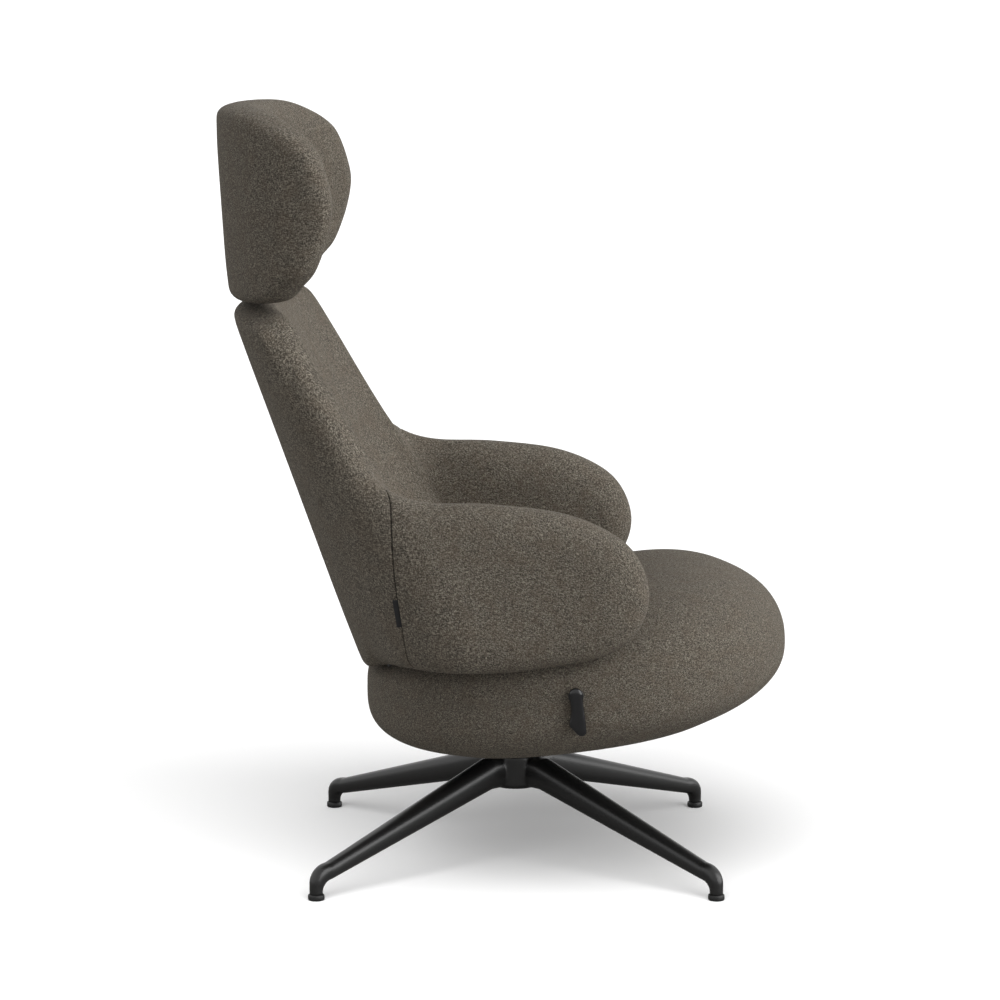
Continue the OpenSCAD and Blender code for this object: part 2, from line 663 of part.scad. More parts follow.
cable_r = 2.5;
cable_drop = [0, lock_y0 + 4];
cable_z = pan_top + 5;
lever_plate_y = [-322, -262];
cable_points = [
    [lever_x, lever_plate_y[1] + 4, lever_z - 14], [lever_x - 8, -225, cable_z + 4], [lever_x - 24, -190, cable_z],
    [30, -120, cable_z], [cable_drop[0], cable_drop[1] - 6, cable_z], [cable_drop[0], cable_drop[1], cable_z - 6],
    [cable_drop[0], cable_drop[1], bracket_low - 0.01]];

module lock_cable() {
    color(coat) tube(cable_points, cable_r, 8);
}

// Seat
module pan_outline(grow) {
    round = 105;
    w = pan_half_w + grow;
    x0 = pan_rear - grow;
    span = pan_front - pan_rear + 2*grow;
    translate([x0 + round, -w]) square([span - 2*round, 2*w]);
    translate([x0, round - w]) square([span, 2*(w - round)]);
    for (x = [x0 + round, x0 + span - round], y = [-1, 1]) translate([x, y*(w - round)]) circle(r = round);
}

module seat_pan() {
    color(ply)
        difference() {
            translate([0, 0, pan_low]) linear_extrude(pan_t) pan_outline(0);
            for (x = [-1, 1], y = [-1, 1])
                translate([x*bolt_x, y*bolt_y, pan_low - 1]) cylinder(r = 4 + seated, h = pan_t + 2);
            translate([cable_drop[0], cable_drop[1], pan_low - 1]) cylinder(r = cable_r + 1, h = pan_t + 2);
            for (y = [-1, 1], x = foot_bolts) translate([x, y*upright_y, pan_low - 1])
                cylinder(r = 3 + seated, h = pan_t + 2);
        }
}

module seat_cushion() {
    recess_x = bracket_l/2 + 14;
    recess_y = bracket_w/2 + 14;
    g = foam_gap;
    pocket_w = 44;
    color(fabric)
        difference() {
            pad_seat();
            translate([0, 0, pan_low - g]) linear_extrude(pan_t + 2*g) pan_outline(g, $fn = 24);
            translate([-recess_x, -recess_y, pan_low - 100]) cube([2*recess_x, 2*recess_y, 100]);
            translate([lever_x - pocket_w/2, lever_plate_y[0] - g, pan_top - 1])
                cube([pocket_w, lever_plate_y[1] - lever_plate_y[0] + 60, lever_z - pan_top + 14]);
            bar_y(lever_x, lever_z, -360, lever_plate_y[0], bezel_tube_r + g, $fn = 12);
            tube(concat([cable_points[0] + [0, 0, 2]], [for (i = [1:4]) cable_points[i]],
                        [cable_points[4] + [0, 12, 0]]), cable_r + 2, 8);
            translate([cable_drop[0], cable_drop[1], pan_top - 1]) cylinder(r = cable_r + 4, h = 6, $fn = 8);
            for (s = [-1, 1]) {
                translate([foot_plate_x - g, s*upright_y - 22 - g, pan_top - 1])
                    cube([foot_plate_l + 2*g, 44 + 2*g, foot_plate_t + 6]);
                tube(upright(s), (tube_r + g)*round_8, 8, true);
            }
        }
}

// Back frame: two uprights on foot plates, joined by two cross tubes
function back_mid(y, z) = let (a = wrap_a_at_y(back_wrap, abs(y), z)) wrap_point(back_wrap, y < 0 ? -a : a, z);
upright_top_z = back_top - 55;
foot_plate_l = 64;
foot_plate_t = 5;
foot_plate_x = back_mid(upright_y, pan_top)[0] - 10;
foot_bolts = [foot_plate_x + 30, foot_plate_x + 52];
function upright(s) = [back_mid(s*upright_y, pan_top + foot_plate_t), back_mid(s*upright_y, pan_top + 60),
                       back_mid(s*upright_y, upright_top_z)];
cross_r = 0.7*tube_r;
function cross_points(z, shift) = [for (y = [-1:0.5:1])
    let (a = wrap_a_at_y(back_wrap, abs(y*upright_y), z), b = y < 0 ? -a : a)
    wrap_point(back_wrap, b, z) + shift*wrap_normal(back_wrap, b, z)];
cross_shift = -8;
cross_z = [arm_low + 60, upright_top_z - tube_r];

module frame_feet() {
    color(steel)
        for (s = [-1, 1])
            difference() {
                translate([foot_plate_x, s*upright_y - 22, pan_top]) cube([foot_plate_l, 44, foot_plate_t]);
                for (x = foot_bolts) translate([x, s*upright_y, pan_top - 1])
                    cylinder(r = 3 + seated, h = foot_plate_t + 2);
            }
}

// Welded frame: uprights, cross tubes behind the pillow's guides, and a hoop in each arm
module back_frame() {
    color(steel) {
        for (s = [-1, 1]) tube(upright(s), tube_r, 12, true);
        tube(cross_points(cross_z[0], 0), cross_r, 8);
        tube(cross_points(cross_z[1], cross_shift), cross_r, 8);
        for (s = [-1, 1]) tube(hoop(s), arm_tube_r, 8);
    }
}

// Space for the frame in the foam, in tunnels of eight flats
round_8 = 1/cos(22.5);

module frame_space() {
    for (s = [-1, 1]) {
        top = upright(s)[2];
        tube([upright(s)[0], upright(s)[1], top + foam_gap*unit(top - upright(s)[1])], (tube_r + foam_gap)*round_8, 8);
        tube(hoop(s), (arm_tube_r + foam_gap)*round_8, 8);
    }
    tube(cross_points(cross_z[0], 0), (cross_r + foam_gap)*round_8, 8);
    tube(cross_points(cross_z[1], cross_shift), (cross_r + foam_gap)*round_8, 8);
}

module arm_space(s) {
    tube(hoop(s), (arm_tube_r + foam_gap)*round_8, 8);
}

module frame_bolts() {
    color(zinc)
        for (s = [-1, 1], x = foot_bolts) translate([x, s*upright_y, 0]) {
            translate([0, 0, pan_top + foot_plate_t]) cylinder(r = 5.5, h = 4, $fn = 6);
            translate([0, 0, pan_low + 2]) cylinder(r = 3, h = pan_t - 2 + foot_plate_t + 0.01);
        }
}

// Line of the hoop inside an arm, in the arm's middle surface, from the upright and back to it
hoop_low = arm_low + 66;
hoop_high = arm_top - 40;
function hoop(s) = concat(
    [back_mid(s*upright_y, hoop_low)],
    [for (p = concat(
        [[0.5, hoop_low], [0.7, hoop_low], [0.88, hoop_low]],
        [on_back(20, hoop_low), on_back(95, hoop_low + 6), on_back(arm_tip_x - 52, arm_tip_z - 14),
         on_back(arm_tip_x - 52, arm_tip_z + 24), on_back(arm_tip_x - 86, hoop_high - 16),
         on_back(10, hoop_high - 8)],
        [[0.88, hoop_high], [0.7, hoop_high], [0.5, hoop_high]]))
        wrap_point(back_wrap, s*p[0], p[1])],
    [back_mid(s*upright_y, hoop_high)]);

module back_cushion() {
    color(fabric)
        difference() {
            pad_back();
            frame_space();
            for (s = [-1, 1]) rod(guide_line(s, 1)[0], guide_line(s, 9)[1], (guide_r + foam_gap)*round_8, $fn = 8);
        }
}

module arm_left() {
    color(fabric)
        difference() {
            pad_arm(1);
            arm_space(1);
        }
}

module arm_right() {
    color(fabric)
        difference() {
            pad_arm(-1);
            arm_space(-1);
        }
}

// Head pillow and its stems
stem_lean = back_lean;
guide_r = stem_r + 3;
guide_l = head_travel + 70;
stem_l = head_travel + 60;
stem_exit_z = back_top - 2;
guide_shift = guide_r + 1.3 + cross_r*cos(22.5) + cross_shift;
function stem_exit(s) = back_mid(s*stem_y, stem_exit_z) + guide_shift*[cos(stem_lean), 0, sin(stem_lean)];
function along(p, d) = p + d*[-sin(stem_lean), 0, cos(stem_lean)];
function guide_line(s, over) = [along(stem_exit(s), -guide_l - over), along(stem_exit(s), over)];

module headrest_guides() {
    color(nylon)
        for (s = [-1, 1])
            difference() {
                rod(guide_line(s, 0)[0], guide_line(s, 0)[1], guide_r);
                rod(along(stem_exit(s), -guide_l - 2), along(stem_exit(s), 3), stem_r + running);
            }
}

// Each stem is straight where it slides and cranked upright inside the pillow
crank = 14;
function stem_points(s) =
    let (p = along(stem_exit(s), crank))
    [along(stem_exit(s), crank - 6), p, p + [-4, 0, 40], p + [-9, 0, 115]];

module headrest_stems() {
    color(steel)
        for (s = [-1, 1]) {
            rod(along(stem_exit(s), -stem_l), along(stem_exit(s), crank), stem_r);
            tube(stem_points(s), 0.94*stem_r, 12);
        }
}

core_t = 8;
core_w = 300;
core_h = 120;

module core_place() {
    p = stem_points(1);
    lean = atan2(p[2][0] - p[3][0], p[3][2] - p[2][2]);
    face = 0.94*stem_r*cos(15) + 0.02;
    translate([p[2][0] + face*cos(lean), 0, p[2][2] + face*sin(lean)]) rotate([0, -lean, 0])
        translate([0, 0, -10]) children();
}

module headrest_core() {
    color(ply) core_place() translate([0, -core_w/2, 0]) cube([core_t, core_w, core_h]);
}

module headrest_cushion() {
    g = foam_gap;
    color(fabric)
        difference() {
            pad_head();
            core_place() translate([-g, -core_w/2 - g, -g]) cube([core_t + 2*g, core_w + 2*g, core_h + 2*g]);
            for (s = [-1, 1]) {
                rod(along(stem_exit(s), -5), along(stem_exit(s), crank + g), (stem_r + g)*round_8, $fn = 8);
                tube(concat(stem_points(s), [stem_points(s)[3] + [0, 0, g]]), (stem_r + g)*round_8, 8);
            }
        }
}

// Lever
bezel_tube_r = 7.5;
bezel_y = -seat_half_w - 0.5;

module lever_bezel() {
    color(coat) {
        ring_y(lever_x, lever_z, bezel_y - 2.5, bezel_y, bezel_tube_r + 3, lever_pin_r + running);
        ring_y(lever_x, lever_z, bezel_y - 0.01, lever_plate_y[0] - 0.3, bezel_tube_r, lever_pin_r + running);
    }
}

module lever_bracket() {
    w = 28;
    color(steel)
        difference() {
            union() {
                translate([lever_x - w/2, lever_plate_y[0], pan_top]) cube([w, lever_plate_y[1] - lever_plate_y[0] + 50, 3]);
                for (y = lever_plate_y) translate([lever_x - w/2, y, pan_top])
                    cube([w, 3, lever_z - pan_top + 12]);
            }
            bar_y(lever_x, lever_z, -400, -200, lever_pin_r + running);
            translate([lever_x - 6, lever_plate_y[1] - 1, lever_z - 20]) cube([12, 5.1, 12]);
        }
}

module lever_pin() {
    color(steel) {
        bar_y(lever_x, lever_z, bezel_y - 3 - lever_t, lever_plate_y[1] + 8, lever_pin_r);
        ring_y(lever_x, lever_z, lever_plate_y[0] + 20, lever_plate_y[0] + 28, 11, lever_pin_r - 0.01);
    }
}

module lever_handle() {
    d = lever_l - 53;
    blade = [[-0.7, 12.2], [4.5, 10.4], [7.9, 5.6], [8.7, -1.5], [10.3, -15.7], [12.1, -27], [13.5, -40 - d],
             [13.8, -48.5 - d], [11.2, -52.6 - d], [6.7, -lever_l - 0.3], [2.4, -51.8 - d], [-3.3, -45.6 - d],
             [-8.3, -40.3 - d], [-9, -36 - d], [-7.2, -27], [-6.6, -18], [-8.2, -4.3], [-9.6, 3], [-8.6, 8], [-5.2, 11]];
    color(coat)
        difference() {
            union() {
                bar_y(lever_x, lever_z, bezel_y - 3 - lever_t, bezel_y - 2.8, 7.5);
                translate([lever_x, bezel_y - 3, lever_z]) rotate([90, 0, 0])
                    linear_extrude(lever_t) polygon(blade);
            }
            bar_y(lever_x, lever_z, -400, -200, lever_pin_r + seated);
        }
}

// Blank woven tab sewn into the right-hand seam: its long side follows the seam, behind it
tab_w = 8.5;
tab_t = 1;
function seam_point(q) = let (c = bezier(back_station(seam_u), q)) [-c[0], c[1]];
function seam_outer(q) =
    let (c = seam_point(q))
    wrap_point(back_wrap, c[0], c[1]) - (arm_half_t - 0.8)*wrap_normal(back_wrap, c[0], c[1]);

module seam_tab() {
    low = seam_outer(0.353);
    high = seam_outer(0.458);
    c = seam_point(0.405);
    t = unit(high - low);
    out = unit(-wrap_normal(back_wrap, c[0], c[1]) + (wrap_normal(back_wrap, c[0], c[1])*t)*t);
    rear = cross(t, out);
    color(coat)
        multmatrix([for (i = [0:2]) [rear[i], out[i], t[i], low[i]]])
            cube([tab_w, tab_t, norm(high - low)]);
}

base_star();
foot_glides();
column_tube();
lower_bush();
upper_bush();
thrust_washer();
hub_cap();
spindle();
spindle_clip();
spindle_nut();
tilt_housing();
tilt_axle();
axle_clips();
tilt_spring();
axle_bushes();
seat_bracket();
pan_bolts();
tilt_lock();
lock_cable();
seat_pan();
seat_cushion();
back_frame();
frame_feet();
frame_bolts();
back_cushion();
arm_left();
arm_right();
headrest_guides();
headrest_stems();
headrest_core();
headrest_cushion();
lever_bezel();
lever_bracket();
lever_pin();
lever_handle();
seam_tab();
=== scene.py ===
import json
import math
import bpy
import bmesh
import numpy as np
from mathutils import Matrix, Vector
from mathutils.kdtree import KDTree


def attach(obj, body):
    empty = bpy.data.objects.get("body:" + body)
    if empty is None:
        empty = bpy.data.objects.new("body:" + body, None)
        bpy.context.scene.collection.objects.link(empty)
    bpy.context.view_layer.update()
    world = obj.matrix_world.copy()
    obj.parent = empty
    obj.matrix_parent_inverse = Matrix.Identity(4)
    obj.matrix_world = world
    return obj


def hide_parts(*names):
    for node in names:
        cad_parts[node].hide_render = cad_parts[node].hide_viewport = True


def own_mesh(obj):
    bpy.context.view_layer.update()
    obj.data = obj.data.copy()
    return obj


# High back easy chair: one wrapped back with its arms, a pebble seat, a headrest pillow, a four-legged swivel base
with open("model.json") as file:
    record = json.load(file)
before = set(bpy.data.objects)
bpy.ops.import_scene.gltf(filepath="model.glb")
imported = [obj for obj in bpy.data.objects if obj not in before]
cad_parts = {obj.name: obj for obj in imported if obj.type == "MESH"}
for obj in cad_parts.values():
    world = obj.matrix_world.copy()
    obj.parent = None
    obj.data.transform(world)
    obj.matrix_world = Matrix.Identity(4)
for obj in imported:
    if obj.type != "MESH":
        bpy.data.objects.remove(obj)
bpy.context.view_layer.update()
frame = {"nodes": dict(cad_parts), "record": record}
nodes = frame["nodes"]
print("frame loaded with", len(nodes), "solids")


def toLinear(hexText):
    values = [int(hexText[i:i + 2], 16)/255 for i in (1, 3, 5)]
    return [v/12.92 if v <= 0.04045 else ((v + 0.055)/1.055)**2.4 for v in values] + [1.0]


def mix(a, b, t):
    return a + (b - a)*t


def ease(t):
    t = np.clip(t, 0, 1)
    return t*t*(3 - 2*t)


def unit(v):
    return v/np.maximum(np.linalg.norm(v, axis=-1, keepdims=True), 1e-12)


def addNode(tree, kind, inputs=None, **settings):
    node = tree.nodes.new(kind)
    for name, value in settings.items():
        setattr(node, name, value)
    for key, value in (inputs or {}).items():
        if isinstance(value, bpy.types.NodeSocket):
            tree.links.new(value, node.inputs[key])
        else:
            node.inputs[key].default_value = value
    return node


def startMaterial(name, **shaderInputs):
    material = bpy.data.materials.new(name)
    material.use_nodes = True
    tree = material.node_tree
    tree.nodes.clear()
    shader = addNode(tree, "ShaderNodeBsdfPrincipled", {k.replace("_", " "): v for k, v in shaderInputs.items()})
    addNode(tree, "ShaderNodeOutputMaterial", {"Surface": shader.outputs[0]})
    return material, tree, shader


def setRamp(ramp, stops):
    bars = ramp.color_ramp.elements
    while len(bars) > 1:
        bars.remove(bars[-1])
    for i, (place, colour) in enumerate(stops):
        bar = bars[0] if i == 0 else bars.new(place)
        bar.position = place
        bar.color = toLinear(colour)


def makeMesh(name, points, faces, smooth=True):
    mesh = bpy.data.meshes.new(name)
    mesh.from_pydata([tuple(p) for p in points], [], faces)
    bm = bmesh.new()
    bm.from_mesh(mesh)
    bmesh.ops.recalc_face_normals(bm, faces=bm.faces)
    bm.to_mesh(mesh)
    bm.free()
    mesh.polygons.foreach_set("use_smooth", [smooth]*len(mesh.polygons))
    piece = bpy.data.objects.new(name, mesh)
    bpy.context.scene.collection.objects.link(piece)
    return piece


def tubeFaces(start, rings, around):
    # the sides between rings of points, the first of them at start, and a lid at each end
    faces = [(start + i*around + j, start + i*around + (j + 1) % around, start + (i + 1)*around + (j + 1) % around,
              start + (i + 1)*around + j) for i in range(rings - 1) for j in range(around)]
    last = start + (rings - 1)*around
    return faces + [tuple(range(start, start + around))[::-1], tuple(range(last, last + around))]


def pointsOf(piece):
    co = np.empty(len(piece.data.vertices)*3)
    piece.data.vertices.foreach_get("co", co)
    return co.reshape(-1, 3)


def writePoints(piece, co):
    piece.data.vertices.foreach_set("co", np.asarray(co, float).ravel())
    piece.data.update()


def normalsOf(piece):
    n = np.empty(len(piece.data.vertices)*3)
    piece.data.vertices.foreach_get("normal", n)
    return n.reshape(-1, 3)


def giveAttribute(piece, name, values):
    kind = "FLOAT_VECTOR" if values.ndim == 2 else "FLOAT"
    layer = piece.data.attributes.get(name) or piece.data.attributes.new(name, kind, "POINT")
    layer.data.foreach_set("vector" if values.ndim == 2 else "value", values.ravel().astype(np.float32))


def readVectors(piece, name):
    values = np.empty(len(piece.data.vertices)*3, np.float32)
    piece.data.attributes[name].data.foreach_get("vector", values)
    return values.reshape(-1, 3)


def readValues(piece, name):
    values = np.empty(len(piece.data.vertices), np.float32)
    piece.data.attributes[name].data.foreach_get("value", values)
    return values


def nearestPoints(wanted, laid):
    tree = KDTree(len(laid))
    for i, p in enumerate(laid):
        tree.insert(p, i)
    tree.balance()
    return [tree.find(p)[1] for p in wanted]


def applyModifiers(piece):
    graph = bpy.context.evaluated_depsgraph_get()
    mesh = bpy.data.meshes.new_from_object(piece.evaluated_get(graph), preserve_all_data_layers=True, depsgraph=graph)
    old = piece.data
    piece.modifiers.clear()
    piece.data = mesh
    bpy.data.meshes.remove(old)


# eye and floorReach are in metres, pitch and the spreads in degrees; each lamp shines from its From to the origin
studio = dict(eye=(-0.0224, -5.0701, 1.2775), pitch=8.556, lens=129.09, sensor=36.0,
              floorReach=400.0, floorSeen="#f9f9f9", floorBounce="#838280", floorGlow=0.03,
              worldColour="#ffffff", worldLevel=0.42, keyFrom=(1.0, -0.38, 0.32), keySpread=70.0, keyStrength=3.1,
              fillFrom=(-1.0, -0.35, 0.4), fillSpread=80.0, fillStrength=0.35,
              floorLampFrom=(0.06, -0.82, 0.57), floorLampSpread=90.0, floorLampStrength=5.0)


def aimAt(thing, place, target):
    thing.location = place
    thing.rotation_euler = (Vector(target) - Vector(place)).to_track_quat("-Z", "Y").to_euler()


def makeCamera():
    lens = bpy.data.cameras.new("viewCamera")
    lens.lens = studio["lens"]
    lens.sensor_width = studio["sensor"]
    lens.sensor_fit = "HORIZONTAL"
    lens.clip_end = 1000
    camera = bpy.data.objects.new("viewCamera", lens)
    camera.location = studio["eye"]
    camera.rotation_euler = (math.radians(90 - studio["pitch"]), 0, 0)
    bpy.context.scene.collection.objects.link(camera)
    bpy.context.scene.camera = camera


def makeLamp(name, place, spread, strength, floor, lightsFloor):
    # a broad even light; the floor has its own, so that the soft shadow lies where the photograph has it
    lamp = bpy.data.lights.new(name, "SUN")
    lamp.angle = math.radians(spread)
    lamp.energy = strength
    thing = bpy.data.objects.new(name, lamp)
    aimAt(thing, place, (0, 0, 0))
    bpy.context.scene.collection.objects.link(thing)
    group = bpy.data.collections.new(name + "Receivers")
    group.objects.link(floor)
    thing.light_linking.receiver_collection = group
    group.collection_objects[0].light_linking.link_state = "INCLUDE" if lightsFloor else "EXCLUDE"


def makeStudio():
    bpy.context.scene.view_settings.view_transform = "Standard"
    world = bpy.data.worlds.new("studioWorld")
    bpy.context.scene.world = world
    world.use_nodes = True
    tree = world.node_tree
    tree.nodes.clear()
    path = addNode(tree, "ShaderNodeLightPath")
    seen = addNode(tree, "ShaderNodeMath", {0: path.outputs["Is Camera Ray"], 1: path.outputs["Is Glossy Ray"]},
                   operation="MAXIMUM")
    seen = addNode(tree, "ShaderNodeMath", {0: seen.outputs[0], 1: path.outputs["Is Transmission Ray"]},
                   operation="MAXIMUM")
    soft = addNode(tree, "ShaderNodeBackground", {"Color": toLinear(studio["worldColour"]),
                                                  "Strength": studio["worldLevel"]})
    white = addNode(tree, "ShaderNodeBackground", {"Color": (1, 1, 1, 1), "Strength": 1.0})
    both = addNode(tree, "ShaderNodeMixShader", {0: seen.outputs[0], 1: soft.outputs[0], 2: white.outputs[0]})
    addNode(tree, "ShaderNodeOutputWorld", {"Surface": both.outputs[0]})

    r = studio["floorReach"]
    floor = makeMesh("paleFloor", [(-r, -r, 0), (r, -r, 0), (r, r, 0), (-r, r, 0)], [(0, 1, 2, 3)], smooth=False)
    # painted board: matt and pale, so it only takes the soft shadow
    material, tree, shader = startMaterial("mattPaintedBoard", Roughness=0.9, Specular_IOR_Level=0.1)
    path = addNode(tree, "ShaderNodeLightPath")
    tint = addNode(tree, "ShaderNodeMix", {0: path.outputs["Is Camera Ray"], 6: toLinear(studio["floorBounce"]),
                                           7: toLinear(studio["floorSeen"])}, data_type="RGBA")
    tree.links.new(tint.outputs[2], shader.inputs["Base Color"])
    glow = addNode(tree, "ShaderNodeMath", {0: path.outputs["Is Camera Ray"], 1: studio["floorGlow"]},
                   operation="MULTIPLY")
    shader.inputs["Emission Color"].default_value = (1, 1, 1, 1)
    tree.links.new(glow.outputs[0], shader.inputs["Emission Strength"])
    floor.data.materials.append(material)
    makeLamp("windowLight", studio["keyFrom"], studio["keySpread"], studio["keyStrength"], floor, False)
    makeLamp("fillLight", studio["fillFrom"], studio["fillSpread"], studio["fillStrength"], floor, False)
    makeLamp("floorLight", studio["floorLampFrom"], studio["floorLampSpread"], studio["floorLampStrength"], floor, True)


makeCamera()
makeStudio()
print("camera and studio are in place")


# wool melange, plain woven: tiny dark and light flecks in a warm grey, dry and matt with a faint fuzz at grazing light
# threadWidth, dashLength and blotch are in mm; real threads are about 0.5 mm, and are drawn coarser so that they show
# the near-black seam colour is painted shade, laid along the seam's groove
melange = dict(shade="#38342f", body="#605a51", fleck="#9c9486", brown="#63574a", browned=0.30, sewn="#1c1a17",
               threadWidth=0.95, dashLength=3.2, depthScale=400, fuzzScale=1300.0, contrast=(1.02, 1.60),
               blotch=25.0, roughness=0.95, sheen=0.05, sheenTint="#b9b2a6", bump=0.8, bumpDepth=0.0008)


def wovenMelange():
    cloth = melange
    material, tree, shader = startMaterial("wovenWoolMelange", Roughness=cloth["roughness"], Specular_IOR_Level=0.25,
                                           Sheen_Weight=cloth["sheen"], Sheen_Roughness=0.5,
                                           Sheen_Tint=toLinear(cloth["sheenTint"]))
    place = addNode(tree, "ShaderNodeAttribute", attribute_name="weave")
    thin, long, deep = 1000/cloth["threadWidth"], 1000/cloth["dashLength"], cloth["depthScale"]
    layers = []  # the warp's dashes and the weft's
    for scale, shift in (((thin, long, deep), 0.0), ((long, thin, deep), 3.7)):
        laid = addNode(tree, "ShaderNodeMapping", {"Vector": place.outputs["Vector"], "Location": (shift, shift, shift),
                                                   "Scale": scale})
        layers.append(addNode(tree, "ShaderNodeTexNoise", {"Vector": laid.outputs[0], "Scale": 1.0, "Detail": 1.5,
                                                           "Roughness": 0.6}).outputs["Fac"])
    threads = addNode(tree, "ShaderNodeMath", {0: layers[0], 1: layers[1]}, operation="ADD")
    fine = addNode(tree, "ShaderNodeTexNoise", {"Vector": place.outputs["Vector"], "Scale": cloth["fuzzScale"],
                                                "Detail": 1.0})
    flecks = addNode(tree, "ShaderNodeMath", {0: fine.outputs["Fac"], 1: 0.6, 2: threads.outputs[0]},
                     operation="MULTIPLY_ADD")
    spread = addNode(tree, "ShaderNodeMapRange", {"Value": flecks.outputs[0], "From Min": cloth["contrast"][0],
                                                  "From Max": cloth["contrast"][1]})
    tint = addNode(tree, "ShaderNodeValToRGB", {"Fac": spread.outputs[0]})
    setRamp(tint, [(0.05, cloth["shade"]), (0.5, cloth["body"]), (0.95, cloth["fleck"])])
    cloud = addNode(tree, "ShaderNodeTexNoise", {"Vector": place.outputs["Vector"], "Scale": 1000/cloth["blotch"],
                                                 "Detail": 2.0})
    warm = addNode(tree, "ShaderNodeMapRange", {"Value": cloud.outputs["Fac"], "From Min": 0.42, "From Max": 0.72,
                                                "To Max": cloth["browned"]})
    warmed = addNode(tree, "ShaderNodeMix", {0: warm.outputs[0], 6: tint.outputs[0], 7: toLinear(cloth["brown"])},
                     data_type="RGBA")
    # painted shade: where the seam attribute rises the colour goes to near black, for the shadow in the seam's groove
    seam = addNode(tree, "ShaderNodeAttribute", attribute_name="seam")
    seamShaded = addNode(tree, "ShaderNodeMix", {0: seam.outputs["Fac"], 6: warmed.outputs[2], 7: toLinear(cloth["sewn"])},
                     data_type="RGBA")
    tree.links.new(seamShaded.outputs[2], shader.inputs["Base Color"])
    relief = addNode(tree, "ShaderNodeBump", {"Height": flecks.outputs[0], "Strength": cloth["bump"],
                                              "Distance": cloth["bumpDepth"]})
    tree.links.new(relief.outputs[0], shader.inputs["Normal"])
    return material


def speckled(name, colours, grainSize, roughness, bump, axis=(1, 1, 1), relief=0.0002, **shaderInputs):
    # a surface whose colour, gloss and height waver in grains of that many mm, drawn out along an axis below 1
    material, tree, shader = startMaterial(name, **shaderInputs)
    place = addNode(tree, "ShaderNodeTexCoord")
    laid = addNode(tree, "ShaderNodeMapping", {"Vector": place.outputs["Object"], "Scale": axis})
    grain = addNode(tree, "ShaderNodeTexNoise", {"Vector": laid.outputs[0], "Scale": 1000/grainSize, "Detail": 3.0})
    tint = addNode(tree, "ShaderNodeValToRGB", {"Fac": grain.outputs["Fac"]})
    setRamp(tint, [(0.3 + 0.4*i/max(1, len(colours) - 1), c) for i, c in enumerate(colours)])
    dull = addNode(tree, "ShaderNodeMapRange", {"Value": grain.outputs["Fac"], "From Min": 0.3, "From Max": 0.7,
                                                "To Min": roughness[0], "To Max": roughness[1]})
    bumps = addNode(tree, "ShaderNodeBump", {"Height": grain.outputs["Fac"], "Strength": bump, "Distance": relief})
    tree.links.new(tint.outputs[0], shader.inputs["Base Color"])
    tree.links.new(dull.outputs[0], shader.inputs["Roughness"])
    tree.links.new(bumps.outputs[0], shader.inputs["Normal"])
    return material


finishes = {
    # polyester powder coat, baked on the cast base and the steel inside: near black satin with a very fine orange peel
    "charcoal_coat": speckled("powderCoatedMetal", ["#181818", "#1e1e1e"], 1.6, (0.30, 0.38), 0.12),
    # drawn steel: bright with faint lengthwise streaks
    "steel": speckled("drawnSteel", ["#8f9194", "#b4b6b8"], 1.2, (0.24, 0.38), 0.10, (1, 1, 0.15), Metallic=1.0),
    # zinc plate, clear passivated: bright but slightly milky and uneven
    "zinc": speckled("zincPlate", ["#a3a49f", "#bfc0bd"], 3.0, (0.30, 0.48), 0.08, Metallic=1.0),
    # cast nylon: waxy off-white
    "nylon": speckled("naturalNylon", ["#d3d0c4", "#dedbd1"], 2.0, (0.42, 0.52), 0.08, Subsurface_Weight=0.05),
    # polyamide, moulded in a spark-eroded tool: matt black
    "black_plastic": speckled("texturedPolyamide", ["#131313", "#1a1a1a"], 0.8, (0.48, 0.60), 0.25),
    # ABS, moulded in a polished tool: black with a clean highlight
    "gloss_black": speckled("polishedAbs", ["#121214", "#161618"], 4.0, (0.16, 0.22), 0.03),
    # beech plywood, hot pressed: pale brown with long grain
    "plywood": speckled("beechPlywood", ["#a97f4d", "#c59d68", "#b58b59"], 2.5, (0.50, 0.62), 0.20, (0.12, 1, 1)),
    "melange_wool": wovenMelange(),
    # polyester tape, narrow woven: flat black with fine cross ribs
    "black_tape": speckled("wovenTape", ["#0d0d0e", "#17171a"], 0.9, (0.72, 0.85), 0.5, (1, 1, 3)),
}
slotOf = {part["node"]: part["material_slot"] for part in frame["record"]["subparts"]}
for name, solid in nodes.items():
    solid.data.materials.clear()
    solid.data.materials.append(finishes[slotOf[name]])
print("finishes are on the solids")


def curveThrough(points, u):
    # smooth through the points, mirrored about the first; the last point only steers
    p, v = np.array(points, float), np.abs(u)
    i = np.minimum(np.floor(v).astype(int), len(p) - 3)
    t = (v - i)[..., None]
    b, c = p[i], p[i + 1]
    a = np.where((i > 0)[..., None], p[np.maximum(i - 1, 0)], np.array([-p[1, 0], p[1, 1]]))
    d = p[i + 2]
    q = 0.5*(2*b + (c - a)*t + (2*a - 5*b + 4*c - d)*t*t + (3*b - a - 3*c + d)*t*t*t)
    q[..., 0] *= np.where(u < 0, -1, 1)
    return q


def wrapPlan(wrap, z):
    # where the sides begin, how deep the rounded rear is and how wide its half, at this height
    t = (z - wrap["low"])/(wrap["high"] - wrap["low"])
    side = mix(*wrap["side"], t)
    return side, side - mix(*wrap["rear"], t), mix(*wrap["half"], t)


def wrapPoint(wrap, a, z):
    # a is 0 at the rear middle, 1 where the side begins, and runs on forward from there; below 0 it is the left side
    side, deep, half = wrapPlan(wrap, z)
    t, power = np.abs(a), 2/wrap["square"]
    c = np.minimum(t, 1)*math.pi/2
    x = np.where(t <= 1, side - deep*np.maximum(np.cos(c), 0)**power, side + (t - 1)*deep*math.pi/2)
    y = np.where(t <= 1, half*np.sin(c)**power, half + wrap["flare"]*(t - 1)**2)
    return np.stack([x, np.where(a < 0, -1, 1)*y, z + 0*x], -1)


